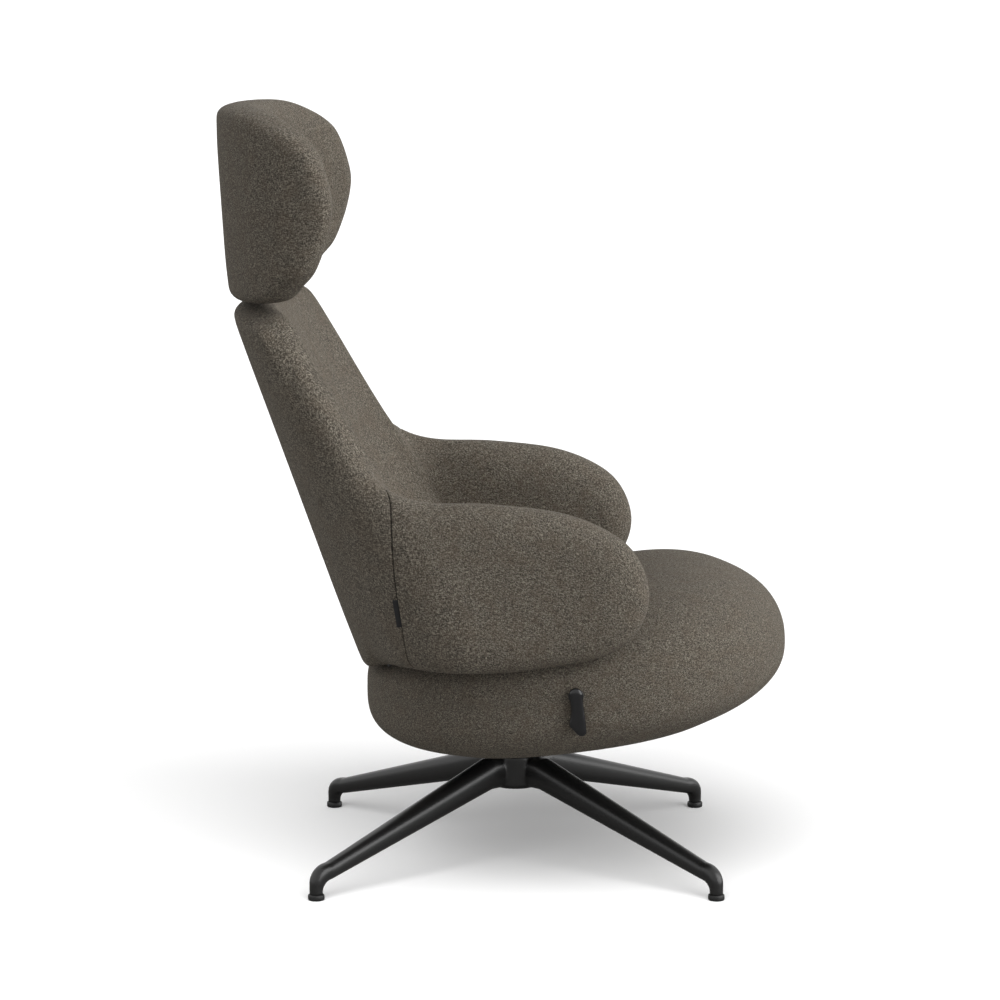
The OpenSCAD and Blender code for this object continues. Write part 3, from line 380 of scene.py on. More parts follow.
def onWrap(wrap, x, z):
    # the a of the point that lies at x, with its height
    side, deep, _ = wrapPlan(wrap, z)
    d = side - x
    return [math.acos(min(1, d/deep))*2/math.pi if d > 0 else 1 - d/(deep*math.pi/2), z]


def wrapNormal(wrap, a, z):
    return unit(np.cross(wrapPoint(wrap, a + 0.01, z) - wrapPoint(wrap, a - 0.01, z),
                         wrapPoint(wrap, a, z + 1) - wrapPoint(wrap, a, z - 1)))


def edgeOf(wrap, high, low, count=1200):
    # the pad's edge as a fine chain of points in its middle surface
    u = np.linspace(0, len(high) - 2, count)
    chain = np.concatenate([curveThrough(low, u), curveThrough(high, u)[::-1]])
    chain = np.concatenate([chain, chain[::-1]*[-1, 1]])
    return wrapPoint(wrap, chain[:, 0], chain[:, 1])


def howFarIn(points, edge):
    # how far each point of the middle surface lies from the pad's edge
    near = np.array(nearestPoints(points, edge))
    best = np.linalg.norm(points - edge[near], axis=1)
    for step in (-1, 1):
        a, b = edge[near], edge[(near + step) % len(edge)]
        t = np.clip(((points - a)*(b - a)).sum(1)/np.maximum(((b - a)**2).sum(1), 1e-9), 0, 1)[:, None]
        best = np.minimum(best, np.linalg.norm(points - a - t*(b - a), axis=1))
    return best


def makeWrapPad(name, wrap, high, low, stations, halfThick, rim, outerRim, corner, steps):
    # rings across the pad from its low edge to its high edge, each up the face to the sitter and down the outer one;
    # its thickness rises from the edge by the distance from it, so that the edge is round all the way
    # stations count the points of the edge lines, and what follows is asked at each station:
    # halfThick and rim: half the thickness and the rounding's reach in mm, at the low edge and at the high one;
    # outerRim: how much of the rim's reach the rounding of the outer face takes;
    # corner: how square the rounding is towards the sitter and on the outer face, 2 being an ellipse
    # steps: how many points a rounding has, and how many lie between the two
    mostRounded = 0.42  # of the ring's height, for each of its two roundings
    mids, places = [], []
    for u in stations:
        v, side = abs(u), -1 if u < 0 else 1
        q, p = curveThrough(low, np.array([v]))[0], curveThrough(high, np.array([v]))[0]
        at = q + (p - q)*np.linspace(0, 1, 25)[:, None]
        length = np.linalg.norm(np.diff(wrapPoint(wrap, at[:, 0], at[:, 1]), axis=0), axis=1).sum()
        e, f = [min(r, length*mostRounded)/length for r in rim(v)]
        turn = 1 - np.cos(np.linspace(0, math.pi/2, steps[0] + 1)[:-1])
        up = np.concatenate([e*turn, np.linspace(e, 1 - f, steps[1]), (1 - f*turn)[::-1]])
        c = q + (p - q)*up[:, None]
        mids.append(np.stack([side*c[:, 0], c[:, 1]], -1))
        places.append(np.stack([up, np.full(len(up), v)], -1))
    mid, place = np.concatenate(mids), np.concatenate(places)
    base, normal = wrapPoint(wrap, mid[:, 0], mid[:, 1]), wrapNormal(wrap, mid[:, 0], mid[:, 1])
    deep = howFarIn(base, edgeOf(wrap, high, low))
    deep[(place[:, 0] == 0) | (place[:, 0] == 1)] = 0
    reach = np.array([mix(rim(v)[0], rim(v)[1], q) for q, v in place])
    thick = np.array([mix(*halfThick(v), q) for q, v in place])
    count, rows = len(places[0]), len(stations)
    layers = []
    square = np.array([corner(v) for v in place[:, 1]])
    for i, sign in enumerate((1, -1)):
        k = square[:, i]
        far = reach if sign > 0 else reach*np.array([outerRim(v) for v in place[:, 1]])
        off = sign*thick*(1 - (1 - np.minimum(1, deep/far))**k)**(1/k)
        layer = np.concatenate([base + off[:, None]*normal, mid, off[:, None], place], 1)
        layers.append(layer.reshape(rows, count, -1))
    table = np.concatenate([layers[0], layers[1][:, -2:0:-1]], 1)
    tip = wrapPoint(wrap, np.array(high[-2][0]), np.array(float(high[-2][1])))
    end = [*tip, high[-2][0], high[-2][1], 0, 1, len(high) - 2]
    around = table.shape[1]
    table = np.concatenate([table.reshape(rows*around, -1), [np.array(end)*[1, -1, 1, -1, 1, 1, 1, 1], end]])
    faces = []
    for i in range(rows - 1):
        for j in range(around):
            k = (j + 1) % around
            faces.append((i*around + j, i*around + k, (i + 1)*around + k, (i + 1)*around + j))
    for j in range(around):
        k = (j + 1) % around
        faces.append((rows*around, k, j))
        faces.append((rows*around + 1, (rows - 1)*around + j, (rows - 1)*around + k))
    return makeMesh(name, table[:, :3]/1000, faces), table[:, 3:]


def easeOver(piece, values, weight, rounds):
    # each point's value drifts towards the mean of its neighbours'
    edges = np.empty(len(piece.data.edges)*2, np.int32)
    piece.data.edges.foreach_get("vertices", edges)
    a, b = edges.reshape(-1, 2).T
    count = len(values)
    ties = np.bincount(np.concatenate([a, b]), minlength=count)
    for _ in range(rounds):
        for column in values.T:
            pull = np.bincount(a, column[b], count) + np.bincount(b, column[a], count)
            column += 0.5*weight*(pull/ties - column)
    return values


def relax(piece, weight, rounds):
    # eases a tight hollow or a hard corner into a soft one
    writePoints(piece, easeOver(piece, pointsOf(piece), weight, rounds))


# how a cover stretches over its foam; easing is how many rounds even out the swelling afterwards
cover = dict(quality=5, mass=0.3, stretch=15, bending=0.6, pressure=4, frames=20, easing=12)


def swell(piece, start, grow, still=0.0):
    # the cover filled with air pressure, as the foam fills the real one: it starts smaller by start, comes back at
    # least to its own outline, and no point swells by more than grow from its start; where still is 1 it stays
    free = 1 - np.broadcast_to(still, len(piece.data.vertices))
    shape, outward = pointsOf(piece), normalsOf(piece)
    scene = bpy.context.scene
    before = shape - outward*(start*free)[:, None]
    writePoints(piece, before)
    cloth = piece.modifiers.new("cloth", "CLOTH")
    cloth.settings.quality = cover["quality"]
    cloth.settings.mass = cover["mass"]
    cloth.settings.tension_stiffness = cloth.settings.compression_stiffness = cover["stretch"]
    cloth.settings.bending_stiffness = cover["bending"]
    cloth.settings.use_pressure = True
    cloth.settings.uniform_pressure_force = cover["pressure"]
    cloth.settings.effector_weights.gravity = 0
    cloth.collision_settings.use_self_collision = False
    cloth.point_cache.frame_start, cloth.point_cache.frame_end = 1, cover["frames"]
    for f in range(1, cover["frames"] + 1):
        scene.frame_set(f)
    graph = bpy.context.evaluated_depsgraph_get()
    mesh = bpy.data.meshes.new_from_object(piece.evaluated_get(graph), depsgraph=graph)
    after = np.empty(len(mesh.vertices)*3)
    mesh.vertices.foreach_get("co", after)
    bpy.data.meshes.remove(mesh)
    piece.modifiers.clear()
    scene.frame_set(1)
    move = np.nan_to_num(((after.reshape(-1, 3) - before)*outward).sum(1))
    swollen = easeOver(piece, np.clip(move - start, 0, grow - start)[:, None], np.ones(len(move)), cover["easing"])
    writePoints(piece, shape + outward*swollen*free[:, None])
    mean, most = round(float(swollen.mean())*1000, 2), round(float(swollen.max())*1000, 2)
    print(piece.name, "swelled by", mean, "mm, at most", most)


def subdivide(piece):
    change = piece.modifiers.new("subdivision", "SUBSURF")
    change.levels = change.render_levels = 1
    applyModifiers(piece)


def cutAway(piece, cutter, material=None):
    # what the cutter fills is taken out of the piece, and the new faces get the material
    if material:
        cutter.data.materials.append(material)
    cut = piece.modifiers.new("cut", "BOOLEAN")
    cut.operation, cut.object, cut.solver = "DIFFERENCE", cutter, "EXACT"
    cut.material_mode = "TRANSFER"
    applyModifiers(piece)
    bpy.data.objects.remove(cutter)


def spun(radius, turn, height, along):
    across, aside = radius*math.cos(turn), radius*math.sin(turn)
    return (across, aside, height) if along == "z" else (across, height, aside)


def turned(name, profile, centre, along="z", steps=48):
    # a lathe shape: a closed profile of (radius, height) spun about an axis, in mm
    count = len(profile)
    points, faces = [], []
    for k in range(steps):
        v = 2*math.pi*k/steps
        for r, h in profile:
            points.append([(p + c)/1000 for p, c in zip(spun(r, v, h, along), centre)])
        for j in range(count):
            n, m = (j + 1) % count, (k + 1) % steps
            faces.append((k*count + j, k*count + n, m*count + n, m*count + j))
    return makeMesh(name, points, faces, smooth=False)


def pegs(name, places, radius, low, high, along="z", steps=48):
    # round bars, joined in one mesh, to bore with
    points, faces = [], []
    for place in places:
        start = len(points)
        for end in (low, high):
            for k in range(steps):
                points.append([(p + c)/1000 for p, c in zip(spun(radius, 2*math.pi*k/steps, end, along), place)])
        faces += tubeFaces(start, 2, steps)
    return makeMesh(name, points, faces, smooth=False)


def smoothUpTo(piece, degrees):
    piece.data.polygons.foreach_set("use_smooth", [True]*len(piece.data.polygons))
    piece.data.set_sharp_from_angle(angle=math.radians(degrees))


def closedCurve(points, steps):
    # a smooth closed line through the points
    p = np.array(points, float)
    t = np.linspace(0, 1, steps, endpoint=False)[:, None]
    a, b, c, d = (np.roll(p, k, axis=0)[:, None, :] for k in (1, 0, -1, -2))
    return (0.5*(2*b + (c - a)*t + (2*a - 5*b + 4*c - d)*t*t + (3*b - a - 3*c + d)*t*t*t)).reshape(-1, 2)


# the back and both arms, one upholstered wrap on a surface that leans with the back, in mm
# low and high: its levels; at each of them rear: x of the rear middle, side: x where the sides begin, half: y there
backHeight, backLean, sideLean = 505, 20.4, 0.58  # mm, degrees, and mm back for each mm up
backWrap = dict(low=300, high=300 + backHeight, rear=(-183, -183 - backHeight*math.tan(math.radians(backLean))),
                side=(-10, -10 - sideLean*backHeight), half=(341, 290), flare=4, square=2)
rearTop = backWrap["rear"][1]
# sideFrom, sideTo, thickenOver, roundOver, squareOver and stillOver are spans of stations; hollowOver and grooveOver
# are spans of mm off the middle surface, below 0 on the outer face, and bendOver is a span of the height from 0 to 1;
# start and swell are in metres, here and for the pillow and the seat
back = dict(seamAt=7, seamBow=0.06, grooveDepth=2.0, grooveWidth=1.4, grooveOver=(-10, 4), stationLength=75,
            halfThick=(38, 30), armHalfThick=45, backRim=(20, 17), sideRim=(30, 34), armRim=(58, 58),
            innerSquare=2.2, outerSquare=(4.0, 2.8), sideSquare=2.1, sideFrom=(2.6, 3.8), sideTo=(6, 7.5),
            thickenOver=(4, 8), roundOver=(4.6, 8.0), squareOver=(1, 6), stillOver=(12.2, 12.7), outerReach=(0.6, 1.0),
            hollowAt=1, hollowOver=(4, 16), hollowRounds=80, bendAt=0.95, bendOver=(0.55, 0.85), bendRounds=40,
            riseRounds=80, softWidth=0.25, start=0.003, swell=0.005)
backHigh = [[0, 805], [0.40, 804], [0.70, 799]] + [onWrap(backWrap, x, z) for x, z in (
    (rearTop + 53, 787), (rearTop + 79, 748), (-246, 672), (-212, 618), (-172, 581), (-118, 562), (-32, 557), (58, 546),
    (120, 523), (159, 491), (178, 438))]
backLow = [[0, 306], [0.095, 306], [0.19, 307], [0.285, 310], [0.38, 315], [0.475, 321], [0.57, 327], [0.66, 331]] + [
    onWrap(backWrap, x, z) for x, z in ((-70, 331), (-16, 331), (58, 340), (116, 353), (161, 384), (178, 438))]
backHigh, backLow = backHigh + [backLow[-2]], backLow + [backHigh[-2]]  # each edge is steered into the other at the tip


def over(v, span):
    # 0 before the span and 1 after it
    return ease((v - span[0])/(span[1] - span[0]))


def makeBack():
    # rows of points from the rear middle to the arm's tip, close together at the seam and at the tip
    half = list(np.linspace(0, 5.5, 34)) + list(np.linspace(5.5, 6.86, 16)[1:])
    half += list(np.linspace(6.9, 7.045, 10)) + [7.08]
    half += list(np.linspace(7.15, 12, 54)) + list(np.linspace(12.08, 12.96, 12)) + [12.985]

    def halfThick(v):
        return [mix(plain, back["armHalfThick"], over(v, back["thickenOver"])) for plain in back["halfThick"]]

    def alongSide(v):
        # 1 on the sloping sides of the back, whose edge is rounder than at the top
        return over(v, back["sideFrom"])*(1 - over(v, back["sideTo"]))

    def rim(v):
        low, high = [mix(b, arm, over(v, back["roundOver"])) for b, arm in zip(back["backRim"], back["armRim"])]
        return [mix(low, max(low, back["sideRim"][0]), alongSide(v)), high]

    def outerRim(v):
        plain = mix(*back["outerReach"], over(v, back["thickenOver"]))
        return mix(plain, max(1.0, back["sideRim"][1]/rim(v)[1]), alongSide(v))

    def corner(v):
        outer = mix(*back["outerSquare"], over(v, back["squareOver"]))
        return back["innerSquare"], mix(outer, back["sideSquare"], alongSide(v))

    return makeWrapPad("backAndArms", backWrap, backHigh, backLow, [-u for u in half[:0:-1]] + half,
                       halfThick, rim, outerRim, corner, (8, 24))


def arcAlong(wrap, a, z):
    # how far along the wrap each point lies from the rear middle, in mm, added up over short steps
    t = np.linspace(0, 1, 49)
    p = wrapPoint(wrap, np.abs(a)[:, None]*t, np.repeat(z[:, None], 49, 1))
    return np.linalg.norm(np.diff(p, axis=1), axis=2).sum(1)*np.where(a < 0, -1, 1)


def weaveOnWrap(piece, wrap, across):
    rows = across[:, :3]
    weave = np.stack([arcAlong(wrap, rows[:, 0], rows[:, 1]), rows[:, 1], rows[:, 2]], -1)/1000
    giveAttribute(piece, "weave", weave)


backPiece, backAcross = makeBack()
weaveOnWrap(backPiece, backWrap, backAcross)
for name, values in (("station", backAcross[:, 4]), ("upward", backAcross[:, 3]), ("offset", backAcross[:, 2])):
    giveAttribute(backPiece, name, values)


def nearTurn(at):
    # 1 where the back turns into an arm, fading to both sides
    return np.exp(-((np.abs(backAcross[:, 0]) - at)/back["softWidth"])**2)


# the face to the sitter is softened where it turns into the arm
relax(backPiece, nearTurn(back["hollowAt"])*over(backAcross[:, 2], back["hollowOver"]), back["hollowRounds"])
# and the high edge is eased there outwards only, so that the close rows along the seam move together
shape, outward = pointsOf(backPiece), normalsOf(backPiece)
highBend = nearTurn(back["bendAt"])*over(backAcross[:, 3], back["bendOver"])
rise = ((easeOver(backPiece, shape.copy(), highBend, back["bendRounds"]) - shape)*outward).sum(1)[:, None]
writePoints(backPiece, shape + outward*easeOver(backPiece, rise, np.ones(len(rise)), back["riseRounds"]))
swell(backPiece, back["start"], back["swell"], still=over(backAcross[:, 4], back["stillOver"]))
subdivide(backPiece)


def seamStation(upward):
    # the seam bows a little to the rear between its ends
    return back["seamAt"] - back["seamBow"]*np.sin(math.pi*upward)**2


def seamPlace(upward):
    v = np.array([seamStation(upward)])
    low, high = curveThrough(backLow, v)[0], curveThrough(backHigh, v)[0]
    return low + (high - low)*upward


def sewSeam(piece):
    # the arm's cover is sewn to the back's: a narrow valley down the outer face, which fades out over both rims, with
    # painted shade laid along it
    station, upward, offset = (readValues(piece, name) for name in ("station", "upward", "offset"))
    co = pointsOf(piece)
    near = np.exp(-((station - seamStation(upward))*back["stationLength"]/back["grooveWidth"])**2)
    outside = 1 - over(offset, back["grooveOver"])
    writePoints(piece, co - normalsOf(piece)*(near*outside*back["grooveDepth"]/1000)[:, None])
    # the seam attribute marks where painted shade darkens the groove
    giveAttribute(piece, "seam", np.clip(near*1.15 - 0.25, 0, 1)*outside)


sewSeam(backPiece)
for name in ("station", "upward", "offset"):
    backPiece.data.attributes.remove(backPiece.data.attributes[name])
backPiece.data.materials.append(finishes["melange_wool"])
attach(backPiece, "seat")
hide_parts("back_cushion", "arm_left", "arm_right")
print("back and arms:", len(backPiece.data.vertices), "points")


# the headrest pillow, the same kind of pad with a wing at each side
headWrap = dict(low=810, high=1081, rear=(-367, -384), side=(-243, -243), half=(304, 302), flare=0, square=2)
head = dict(halfThick=37, wingHalfThick=30, thinOver=(0, 5), rim=(44, 44), outerRim=0.48,
            corner=(2.3, 3.0), start=0.003, swell=0.005)
headHigh = [[0, 1081], [0.28, 1080], [0.50, 1075]] + [onWrap(headWrap, x, z) for x, z in (
    (-309, 1060), (-281, 1042), (-265, 1023), (-251, 988), (-245, 952))]
headLow = [[0, 810], [0.25, 811], [0.45, 815], [0.62, 824]] + [onWrap(headWrap, x, z) for x, z in (
    (-297, 840), (-274, 864), (-254, 907), (-245, 952))]
headHigh, headLow = headHigh + [headLow[-2]], headLow + [headHigh[-2]]


def makeHead():
    half = list(np.linspace(0, 6, 46)) + list(np.linspace(6.08, 6.96, 12)) + [6.985]

    def halfThick(v):
        return (mix(head["halfThick"], head["wingHalfThick"], over(v, head["thinOver"])),)*2

    return makeWrapPad("headPillow", headWrap, headHigh, headLow, [-u for u in half[:0:-1]] + half, halfThick,
                       lambda v: head["rim"], lambda v: head["outerRim"], lambda v: head["corner"], (8, 16))


headPiece, headAcross = makeHead()
weaveOnWrap(headPiece, headWrap, headAcross)
swell(headPiece, head["start"], head["swell"])
subdivide(headPiece)
headPiece.data.materials.append(finishes["melange_wool"])
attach(headPiece, "headrest")
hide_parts("headrest_cushion")
print("headrest pillow:", len(headPiece.data.vertices), "points")


# the seat, a closed pebble of foam with a recess under it for the tilt mechanism
# in mm, with its slope in degrees; square, 2 being an ellipse, is less to the front and more to the sides
seat = dict(middle=86, halfLength=299, halfWidth=334, level=284, slope=6.7, crown=134, crownRear=70, belly=94, tail=0.8,
            planSquare=2.35, square=2.7, squareFront=0.3, squareSide=0.5, crownBy=1.75, cells=44,
            recess=(109, 84, 240), recessRound=10, recessLow=100, start=0.003, swell=0.005)


def seatPoint(turn, rise):
    # turn goes round the seat from its front and rise from the widest line up, both as on a ball
    c, s = np.cos(turn), np.sin(turn)
    tail = np.where(rise > 0, seat["tail"]*ease(-c/0.6)*(1 + 3*s*s), 0)  # fuller above, towards the back
    n = seat["square"] - seat["squareFront"]*c + seat["squareSide"]*s*s + tail
    r = np.abs(np.cos(rise))**(2/n)
    h = np.abs(np.sin(rise))**(2/n)*np.sign(rise)
    x = r*seat["halfLength"]*np.abs(c)**(2/seat["planSquare"])*np.sign(c)
    y = r*seat["halfWidth"]*np.abs(s)**(2/seat["planSquare"])*np.sign(s)
    up = mix(seat["crownRear"], seat["crown"], ease((x + seat["halfLength"])/(seat["crownBy"]*seat["halfLength"])))
    return np.stack([seat["middle"] + x, y, seat["level"] + x*math.tan(math.radians(seat["slope"]))
                     + np.where(h > 0, up, seat["belly"])*h], -1)


def makeSeat():
    # six square patches blown out to a ball, so that no point gathers the threads
    n = seat["cells"]
    line = np.tan(np.linspace(-math.pi/4, math.pi/4, n + 1))
    a, b = np.meshgrid(line, line, indexing="ij")
    one = np.ones_like(a)
    patches = [(one, a, b), (-one, b, a), (b, one, a), (a, -one, b), (a, b, one), (b, a, -one)]
    points = np.concatenate([np.stack(p, -1).reshape(-1, 3) for p in patches])
    faces = []
    for k in range(6):
        for i in range(n):
            for j in range(n):
                s = k*(n + 1)**2 + i*(n + 1) + j
                faces.append((s, s + n + 1, s + n + 2, s + 1))
    points = unit(points)
    _, firsts, whereTo = np.unique(points.round(6), axis=0, return_index=True, return_inverse=True)
    points, whereTo = points[firsts], whereTo.ravel()
    faces = [tuple(int(whereTo[i]) for i in f) for f in faces]
    turn, rise = np.arctan2(points[:, 1], points[:, 0]), np.arcsin(np.clip(points[:, 2], -1, 1))
    piece = makeMesh("seatPebble", seatPoint(turn, rise)/1000, faces)
    # threads run out evenly from the middle of the top, and past the widest line they run in again
    t = np.linspace(0, 1, 33)
    toEdge = seatPoint(turn[:, None] + 0*t, math.pi/2*(1 - t)[None, :] + 0*turn[:, None])
    edge = np.linalg.norm(np.diff(toEdge, axis=1), axis=2).sum(1)
    part = np.linalg.norm(np.diff(seatPoint(turn[:, None] + 0*t, np.sign(rise + 1e-9)[:, None]*(
        math.pi/2 - (math.pi/2 - np.abs(rise))[:, None]*t)), axis=1), axis=2).sum(1)
    whole = np.linalg.norm(np.diff(seatPoint(turn[:, None] + 0*t, np.sign(rise + 1e-9)[:, None]*(
        math.pi/2*(1 - t))), axis=1), axis=2).sum(1)
    r = part/whole*edge
    real = seatPoint(turn, rise)
    azimuth = np.arctan2(real[:, 1], real[:, 0] - seat["middle"])
    giveAttribute(piece, "weave", np.stack([r*np.cos(azimuth), r*np.sin(azimuth), real[:, 2]], -1)/1000)
    return piece


def recessCutter():
    # a box with rounded upright corners, closed above at the pan
    halfX, halfY, top = seat["recess"]
    r = seat["recessRound"]
    outline = []
    for i, (cx, cy) in enumerate(((1, 1), (-1, 1), (-1, -1), (1, -1))):
        for k in range(7):
            v = math.radians(i*90 + k*15)
            outline.append((cx*(halfX - r) + r*math.cos(v), cy*(halfY - r) + r*math.sin(v)))
    points = [(x, y, z) for z in (seat["recessLow"], top) for x, y in outline]
    return makeMesh("recessCutter", np.array(points)/1000, tubeFaces(0, 2, len(outline)), smooth=False)


seatPiece = makeSeat()
swell(seatPiece, seat["start"], seat["swell"])
subdivide(seatPiece)
seatPiece.data.materials.append(finishes["melange_wool"])
# spunbonded polypropylene, stapled over the opening: a dull black felt
dustCover = speckled("spunbondDustCover", ["#0e0e0f", "#191919"], 1.2, (0.85, 0.95), 0.4)
laidPoints, laidWeave = pointsOf(seatPiece), readVectors(seatPiece, "weave")
cutAway(seatPiece, recessCutter(), dustCover)
giveAttribute(seatPiece, "weave", laidWeave[nearestPoints(pointsOf(seatPiece), laidPoints)])
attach(seatPiece, "seat")
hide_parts("seat_cushion")
print("seat:", len(seatPiece.data.vertices), "points,", [m.name for m in seatPiece.data.materials])


# the base: a hub with four tapering legs, each turned down into its foot, cast in one and ground smooth
# in mm: At is out from the middle, Low and Top are heights; the roots start inside the hub, at innerAt
star = dict(hubRadius=41, hubLow=101, hubTop=150, hubSides=64, hubEdge=(3, 4), innerAt=12, rootAt=58, rootLow=101,
            rootTop=146, rootWidth=38, elbowAt=366, elbowLow=25, elbowTop=49, elbowWidth=23, footAt=389, footRadius=9.5,
            glideTop=7, bore=24.05, stemBore=4.05, stemTop=19, legRings=8, elbowRings=10, square=2.7, around=32,
            voxel=1.5, ease=7)
legTurns = [math.radians(45 + 90*i) for i in range(4)]
feet = [(star["footAt"]*math.cos(v), star["footAt"]*math.sin(v), 0) for v in legTurns]


def makeStar():
    turns = np.linspace(0, 2*math.pi, star["around"], endpoint=False)
    inner, outer = star["footAt"] - star["footRadius"], star["footAt"] + star["footRadius"] + 0.2
    # each ring of a leg: its low point and its high one as (out, height), its width, and how round it is
    places = [((star["innerAt"], star["rootLow"]), (star["innerAt"], star["rootTop"]), star["rootWidth"], 0)]
    for t in np.linspace(0, 1, star["legRings"]):
        x = mix(star["rootAt"], star["elbowAt"], t)
        places.append(((x, mix(star["rootLow"], star["elbowLow"], t)), (x, mix(star["rootTop"], star["elbowTop"], t)),
                       mix(star["rootWidth"], star["elbowWidth"], t), 0))
    for v in np.linspace(0, math.pi/2, star["elbowRings"])[1:]:
        c, h = math.sin(v), math.cos(v)
        places.append(((mix(star["elbowAt"], inner, c), mix(star["glideTop"] + 5, star["elbowLow"], h)),
                       (mix(star["elbowAt"], outer, c), mix(star["elbowLow"] - 3, star["elbowTop"], h)),
                       mix(2*star["footRadius"], star["elbowWidth"], h), 1 - h))
    places.append(((inner, star["glideTop"]), (outer, star["glideTop"]), 2*star["footRadius"], 1))
    points, faces = [], []
    for turn in legTurns:
        c, s = math.cos(turn), math.sin(turn)
        start = len(points)
        for low, high, width, roundness in places:
            low, high = np.array(low), np.array(high)
            power = 2/mix(star["square"], 2, roundness)
            up = 0.5 - 0.5*np.abs(np.cos(turns))**power*np.sign(np.cos(turns))
            wide = 0.5*width*np.abs(np.sin(turns))**power*np.sign(np.sin(turns))
            at = low + (high - low)*up[:, None]
            points += [(r*c - w*s, r*s + w*c, z) for (r, z), w in zip(at, wide)]
        faces += tubeFaces(start, len(places), star["around"])
    r, low, high, m, (under, above) = [star[k] for k in ("hubRadius", "hubLow", "hubTop", "hubSides", "hubEdge")]
    hub = [(r - under, low), (r, low + under), (r, high - above), (r - above, high)]
    faces += tubeFaces(len(points), len(hub), m)
    for x, z in hub:
        points += [(x*math.cos(k*2*math.pi/m), x*math.sin(k*2*math.pi/m), z) for k in range(m)]
    piece = makeMesh("baseStar", np.array(points)/1000, faces)
    melt = piece.modifiers.new("melt", "REMESH")
    melt.mode, melt.voxel_size, melt.use_smooth_shade = "VOXEL", star["voxel"]*1/1000, True
    applyModifiers(piece)
    relax(piece, np.ones(len(piece.data.vertices)), star["ease"]//(1))
    cutAway(piece, pegs("hubBore", [(0, 0, 0)], star["bore"], star["hubLow"] - 9, star["hubTop"] + 9, steps=96))
    cutAway(piece, pegs("stemBores", feet, star["stemBore"], star["glideTop"] - 3, star["stemTop"], steps=32))
    smoothUpTo(piece, 40)
    return piece


starPiece = makeStar()
starPiece.data.materials.clear()
starPiece.data.materials.append(finishes["charcoal_coat"])
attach(starPiece, "base")
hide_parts("base_star")
print("base star:", len(starPiece.data.vertices), "points")


# the glides: turned cups of hard nylon pressed over the feet, with a rounded heel, as (radius, height) in mm
glideCup = [(0, 0), (9.6, 0), (11.0, 0.8), (11.5, 2.0), (11.5, 5.6), (11.2, 7.0), (10.4, 8.0), (9.75, 8.3), (9.75, 7),
            (4, 7), (4, 18.6), (0, 18.6)]
glides = [turned("footGlide%d" % (i + 1), glideCup, place) for i, place in enumerate(feet)]
for i, glide in enumerate(glides):
    bm = bmesh.new()
    bm.from_mesh(glide.data)
    bmesh.ops.remove_doubles(bm, verts=bm.verts, dist=0.00002)
    bm.to_mesh(glide.data)
    bm.free()
    smoothUpTo(glide, 40)
    glide.data.materials.append(finishes["black_plastic"])
    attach(glide, "base")
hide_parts("foot_glides")
print("four glides")


# the side lever: a moulded tongue with a crowned face and rounded edges, over a thin collar in the cover
# in mm, the edge as (x, z) from the pin; back, front and collarFace are y
lever = dict(x=80, z=298, back=-337.5, front=-344.6, crown=1.3, pinBore=4.05, collar=10.4, collarFace=-337.0,
             spine=((-0.6, 3.0), (3.6, -43.5)))
tongueEdge = [(-0.7, 12.2), (4.5, 10.4), (7.9, 5.6), (8.7, -1.5), (10.3, -15.7), (12.1, -27), (13.5, -40),
              (13.8, -48.5), (11.2, -52.6), (6.7, -53.3), (2.4, -51.8), (-3.3, -45.6), (-8.3, -40.3), (-9.0, -36),
              (-7.2, -27), (-6.6, -18), (-8.2, -4.3), (-9.6, 3), (-8.6, 8), (-5.2, 11)]


def makeTongue():
    edge = closedCurve(tongueEdge, 6)
    a, b = np.array(lever["spine"])
    t = np.clip((edge - a) @ (b - a)/((b - a) @ (b - a)), 0, 1)[:, None]
    core = a + t*(b - a)
    rear, front, crown = lever["back"], lever["front"], lever["crown"]
    # how much of the edge's distance from the spine is left, and at which y
    levels = [(0.90, rear), (0.97, rear - 0.3), (1.0, rear - 1.0), (1.0, front + 2.2), (0.985, front + 1.2),
              (0.94, front + 0.5), (0.86, front), (0.70, front - 0.55*crown), (0.50, front - 0.85*crown),
              (0.25, front - crown)]
    points = []
    for f, y in levels:
        points += [((lever["x"] + x)/1000, y/1000, (lever["z"] + z)/1000) for x, z in core + (edge - core)*f]
    piece = makeMesh("leverTongue", points, tubeFaces(0, len(levels), len(edge)))
    cutAway(piece, pegs("pinBore", [(lever["x"], 0, lever["z"])], lever["pinBore"], rear + 3, front + 0.05, along="y"))
    smoothUpTo(piece, 50)
    return piece


tongue = makeTongue()
tongue.data.materials.clear()
tongue.data.materials.append(finishes["gloss_black"])
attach(tongue, "lever")
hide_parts("lever_handle")

face, r = lever["collarFace"], lever["collar"]
# as (radius, y) in mm
collarProfile = [(4.35, face), (r - 0.8, face), (r, face + 0.8), (r, face + 2.5), (7.5, face + 2.5), (7.5, -322.3),
                 (4.35, -322.3)]
collar = turned("leverCollar", collarProfile, (lever["x"], 0, lever["z"]), along="y")
smoothUpTo(collar, 35)
collar.data.materials.append(finishes["black_plastic"])
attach(collar, "seat")
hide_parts("lever_bezel")
print("lever: tongue and collar")


# the return spring, a piece of its own, which the real seat presses shorter as it tilts; wire is half its thickness
spring = dict(x=-45, radius=15, wire=2.4, low=188.5, high=233.5, turns=6, slack=18, perTurn=32, sides=12,
              pressedTo=0.75)


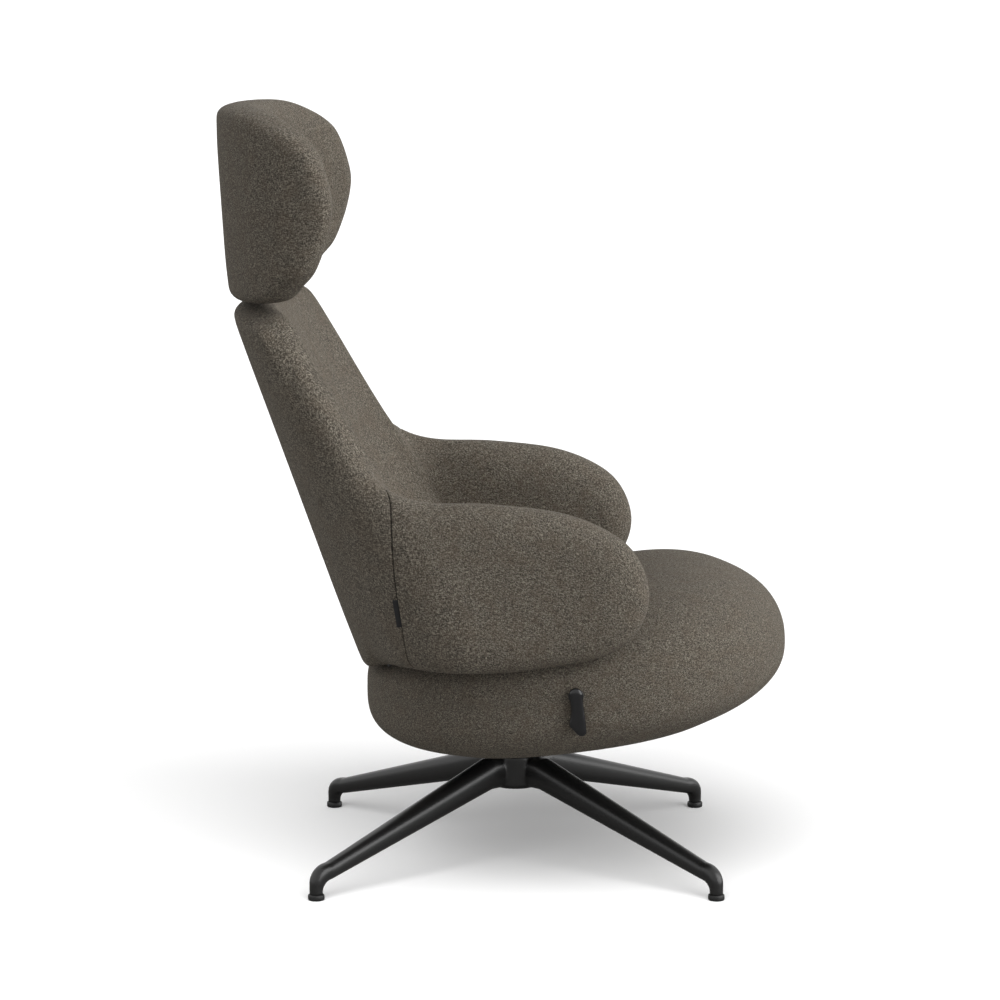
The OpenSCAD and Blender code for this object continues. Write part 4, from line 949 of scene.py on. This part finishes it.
def makeSpring():
    t = np.linspace(0, 1, spring["turns"]*spring["perTurn"] + 1)
    v = 2*math.pi*spring["turns"]*t
    z = spring["low"] + (spring["high"] - spring["low"] - spring["slack"])*ease(t) + spring["slack"]*t
    out, up = np.stack([np.cos(v), np.sin(v), 0*v], -1), np.array([0, 0, 1])
    centre = out*spring["radius"] + np.stack([0*v + spring["x"], 0*v, z], -1)
    lines = [centre + spring["wire"]*(math.cos(w)*out + math.sin(w)*up)
             for w in np.linspace(0, 2*math.pi, spring["sides"], endpoint=False)]
    return makeMesh("returnSpring", np.stack(lines, 1).reshape(-1, 3)/1000, tubeFaces(0, len(t), spring["sides"]))


springPiece = makeSpring()
smoothUpTo(springPiece, 50)
springPiece.data.materials.append(finishes["zinc"])
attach(springPiece, "swivel")
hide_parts("tilt_spring")
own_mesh(springPiece)
print("return spring")


# the tab caught in the right side's seam, a folded length of black tape with nothing on it
# low and high: shares of the seam's height; the rest in mm, with a lift at the free end
tab = dict(low=0.288, high=0.436, begin=-0.3, reach=7.0, thick=0.9, lift=1.0, gap=0.1, lookFrom=40, rows=14, columns=6)


def makeTab():
    rows = []
    for i in range(tab["rows"] + 1):
        q = mix(tab["low"], tab["high"], i/tab["rows"])
        a, z = seamPlace(q)
        base, normal = wrapPoint(backWrap, np.array(a), np.array(z)), wrapNormal(backWrap, np.array(a), np.array(z))
        rearward = wrapPoint(backWrap, np.array(a - 0.02), np.array(z)) - base
        rearward = rearward/np.linalg.norm(rearward)
        for j in range(tab["columns"] + 1):
            w = tab["reach"]*j/tab["columns"]
            p = (base - normal*tab["lookFrom"] + rearward*(w + tab["begin"]))*np.array([1, -1, 1])
            _, spot, up, _ = backPiece.closest_point_on_mesh(Vector(p/1000))
            rows.append((np.array(spot)*1000, np.array(up), (w/tab["reach"])**2))
    above = [spot + up*(tab["thick"] + tab["lift"]*bend) for spot, up, bend in rows]
    under = [spot + up*(tab["gap"] + tab["lift"]*bend) for spot, up, bend in rows]
    n, m = tab["rows"] + 1, tab["columns"] + 1
    points = np.array(above + under)/1000
    faces = []
    for i in range(n - 1):
        for j in range(m - 1):
            k = i*m + j
            faces += [(k, k + m, k + m + 1, k + 1), (n*m + k, n*m + k + 1, n*m + k + m + 1, n*m + k + m)]
    rim = list(range(m)) + [i*m + m - 1 for i in range(1, n)] + [(n - 1)*m + j for j in range(m - 2, -1, -1)]
    rim += [i*m for i in range(n - 2, 0, -1)]
    faces += [(a, b, b + n*m, a + n*m) for a, b in zip(rim, rim[1:] + rim[:1])]
    return makeMesh("seamTab", points, faces)


tabPiece = makeTab()
subdivide(tabPiece)
tabPiece.data.materials.append(finishes["black_tape"])
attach(tabPiece, "seat")
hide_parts("seam_tab")
print("seam tab: blank tape")
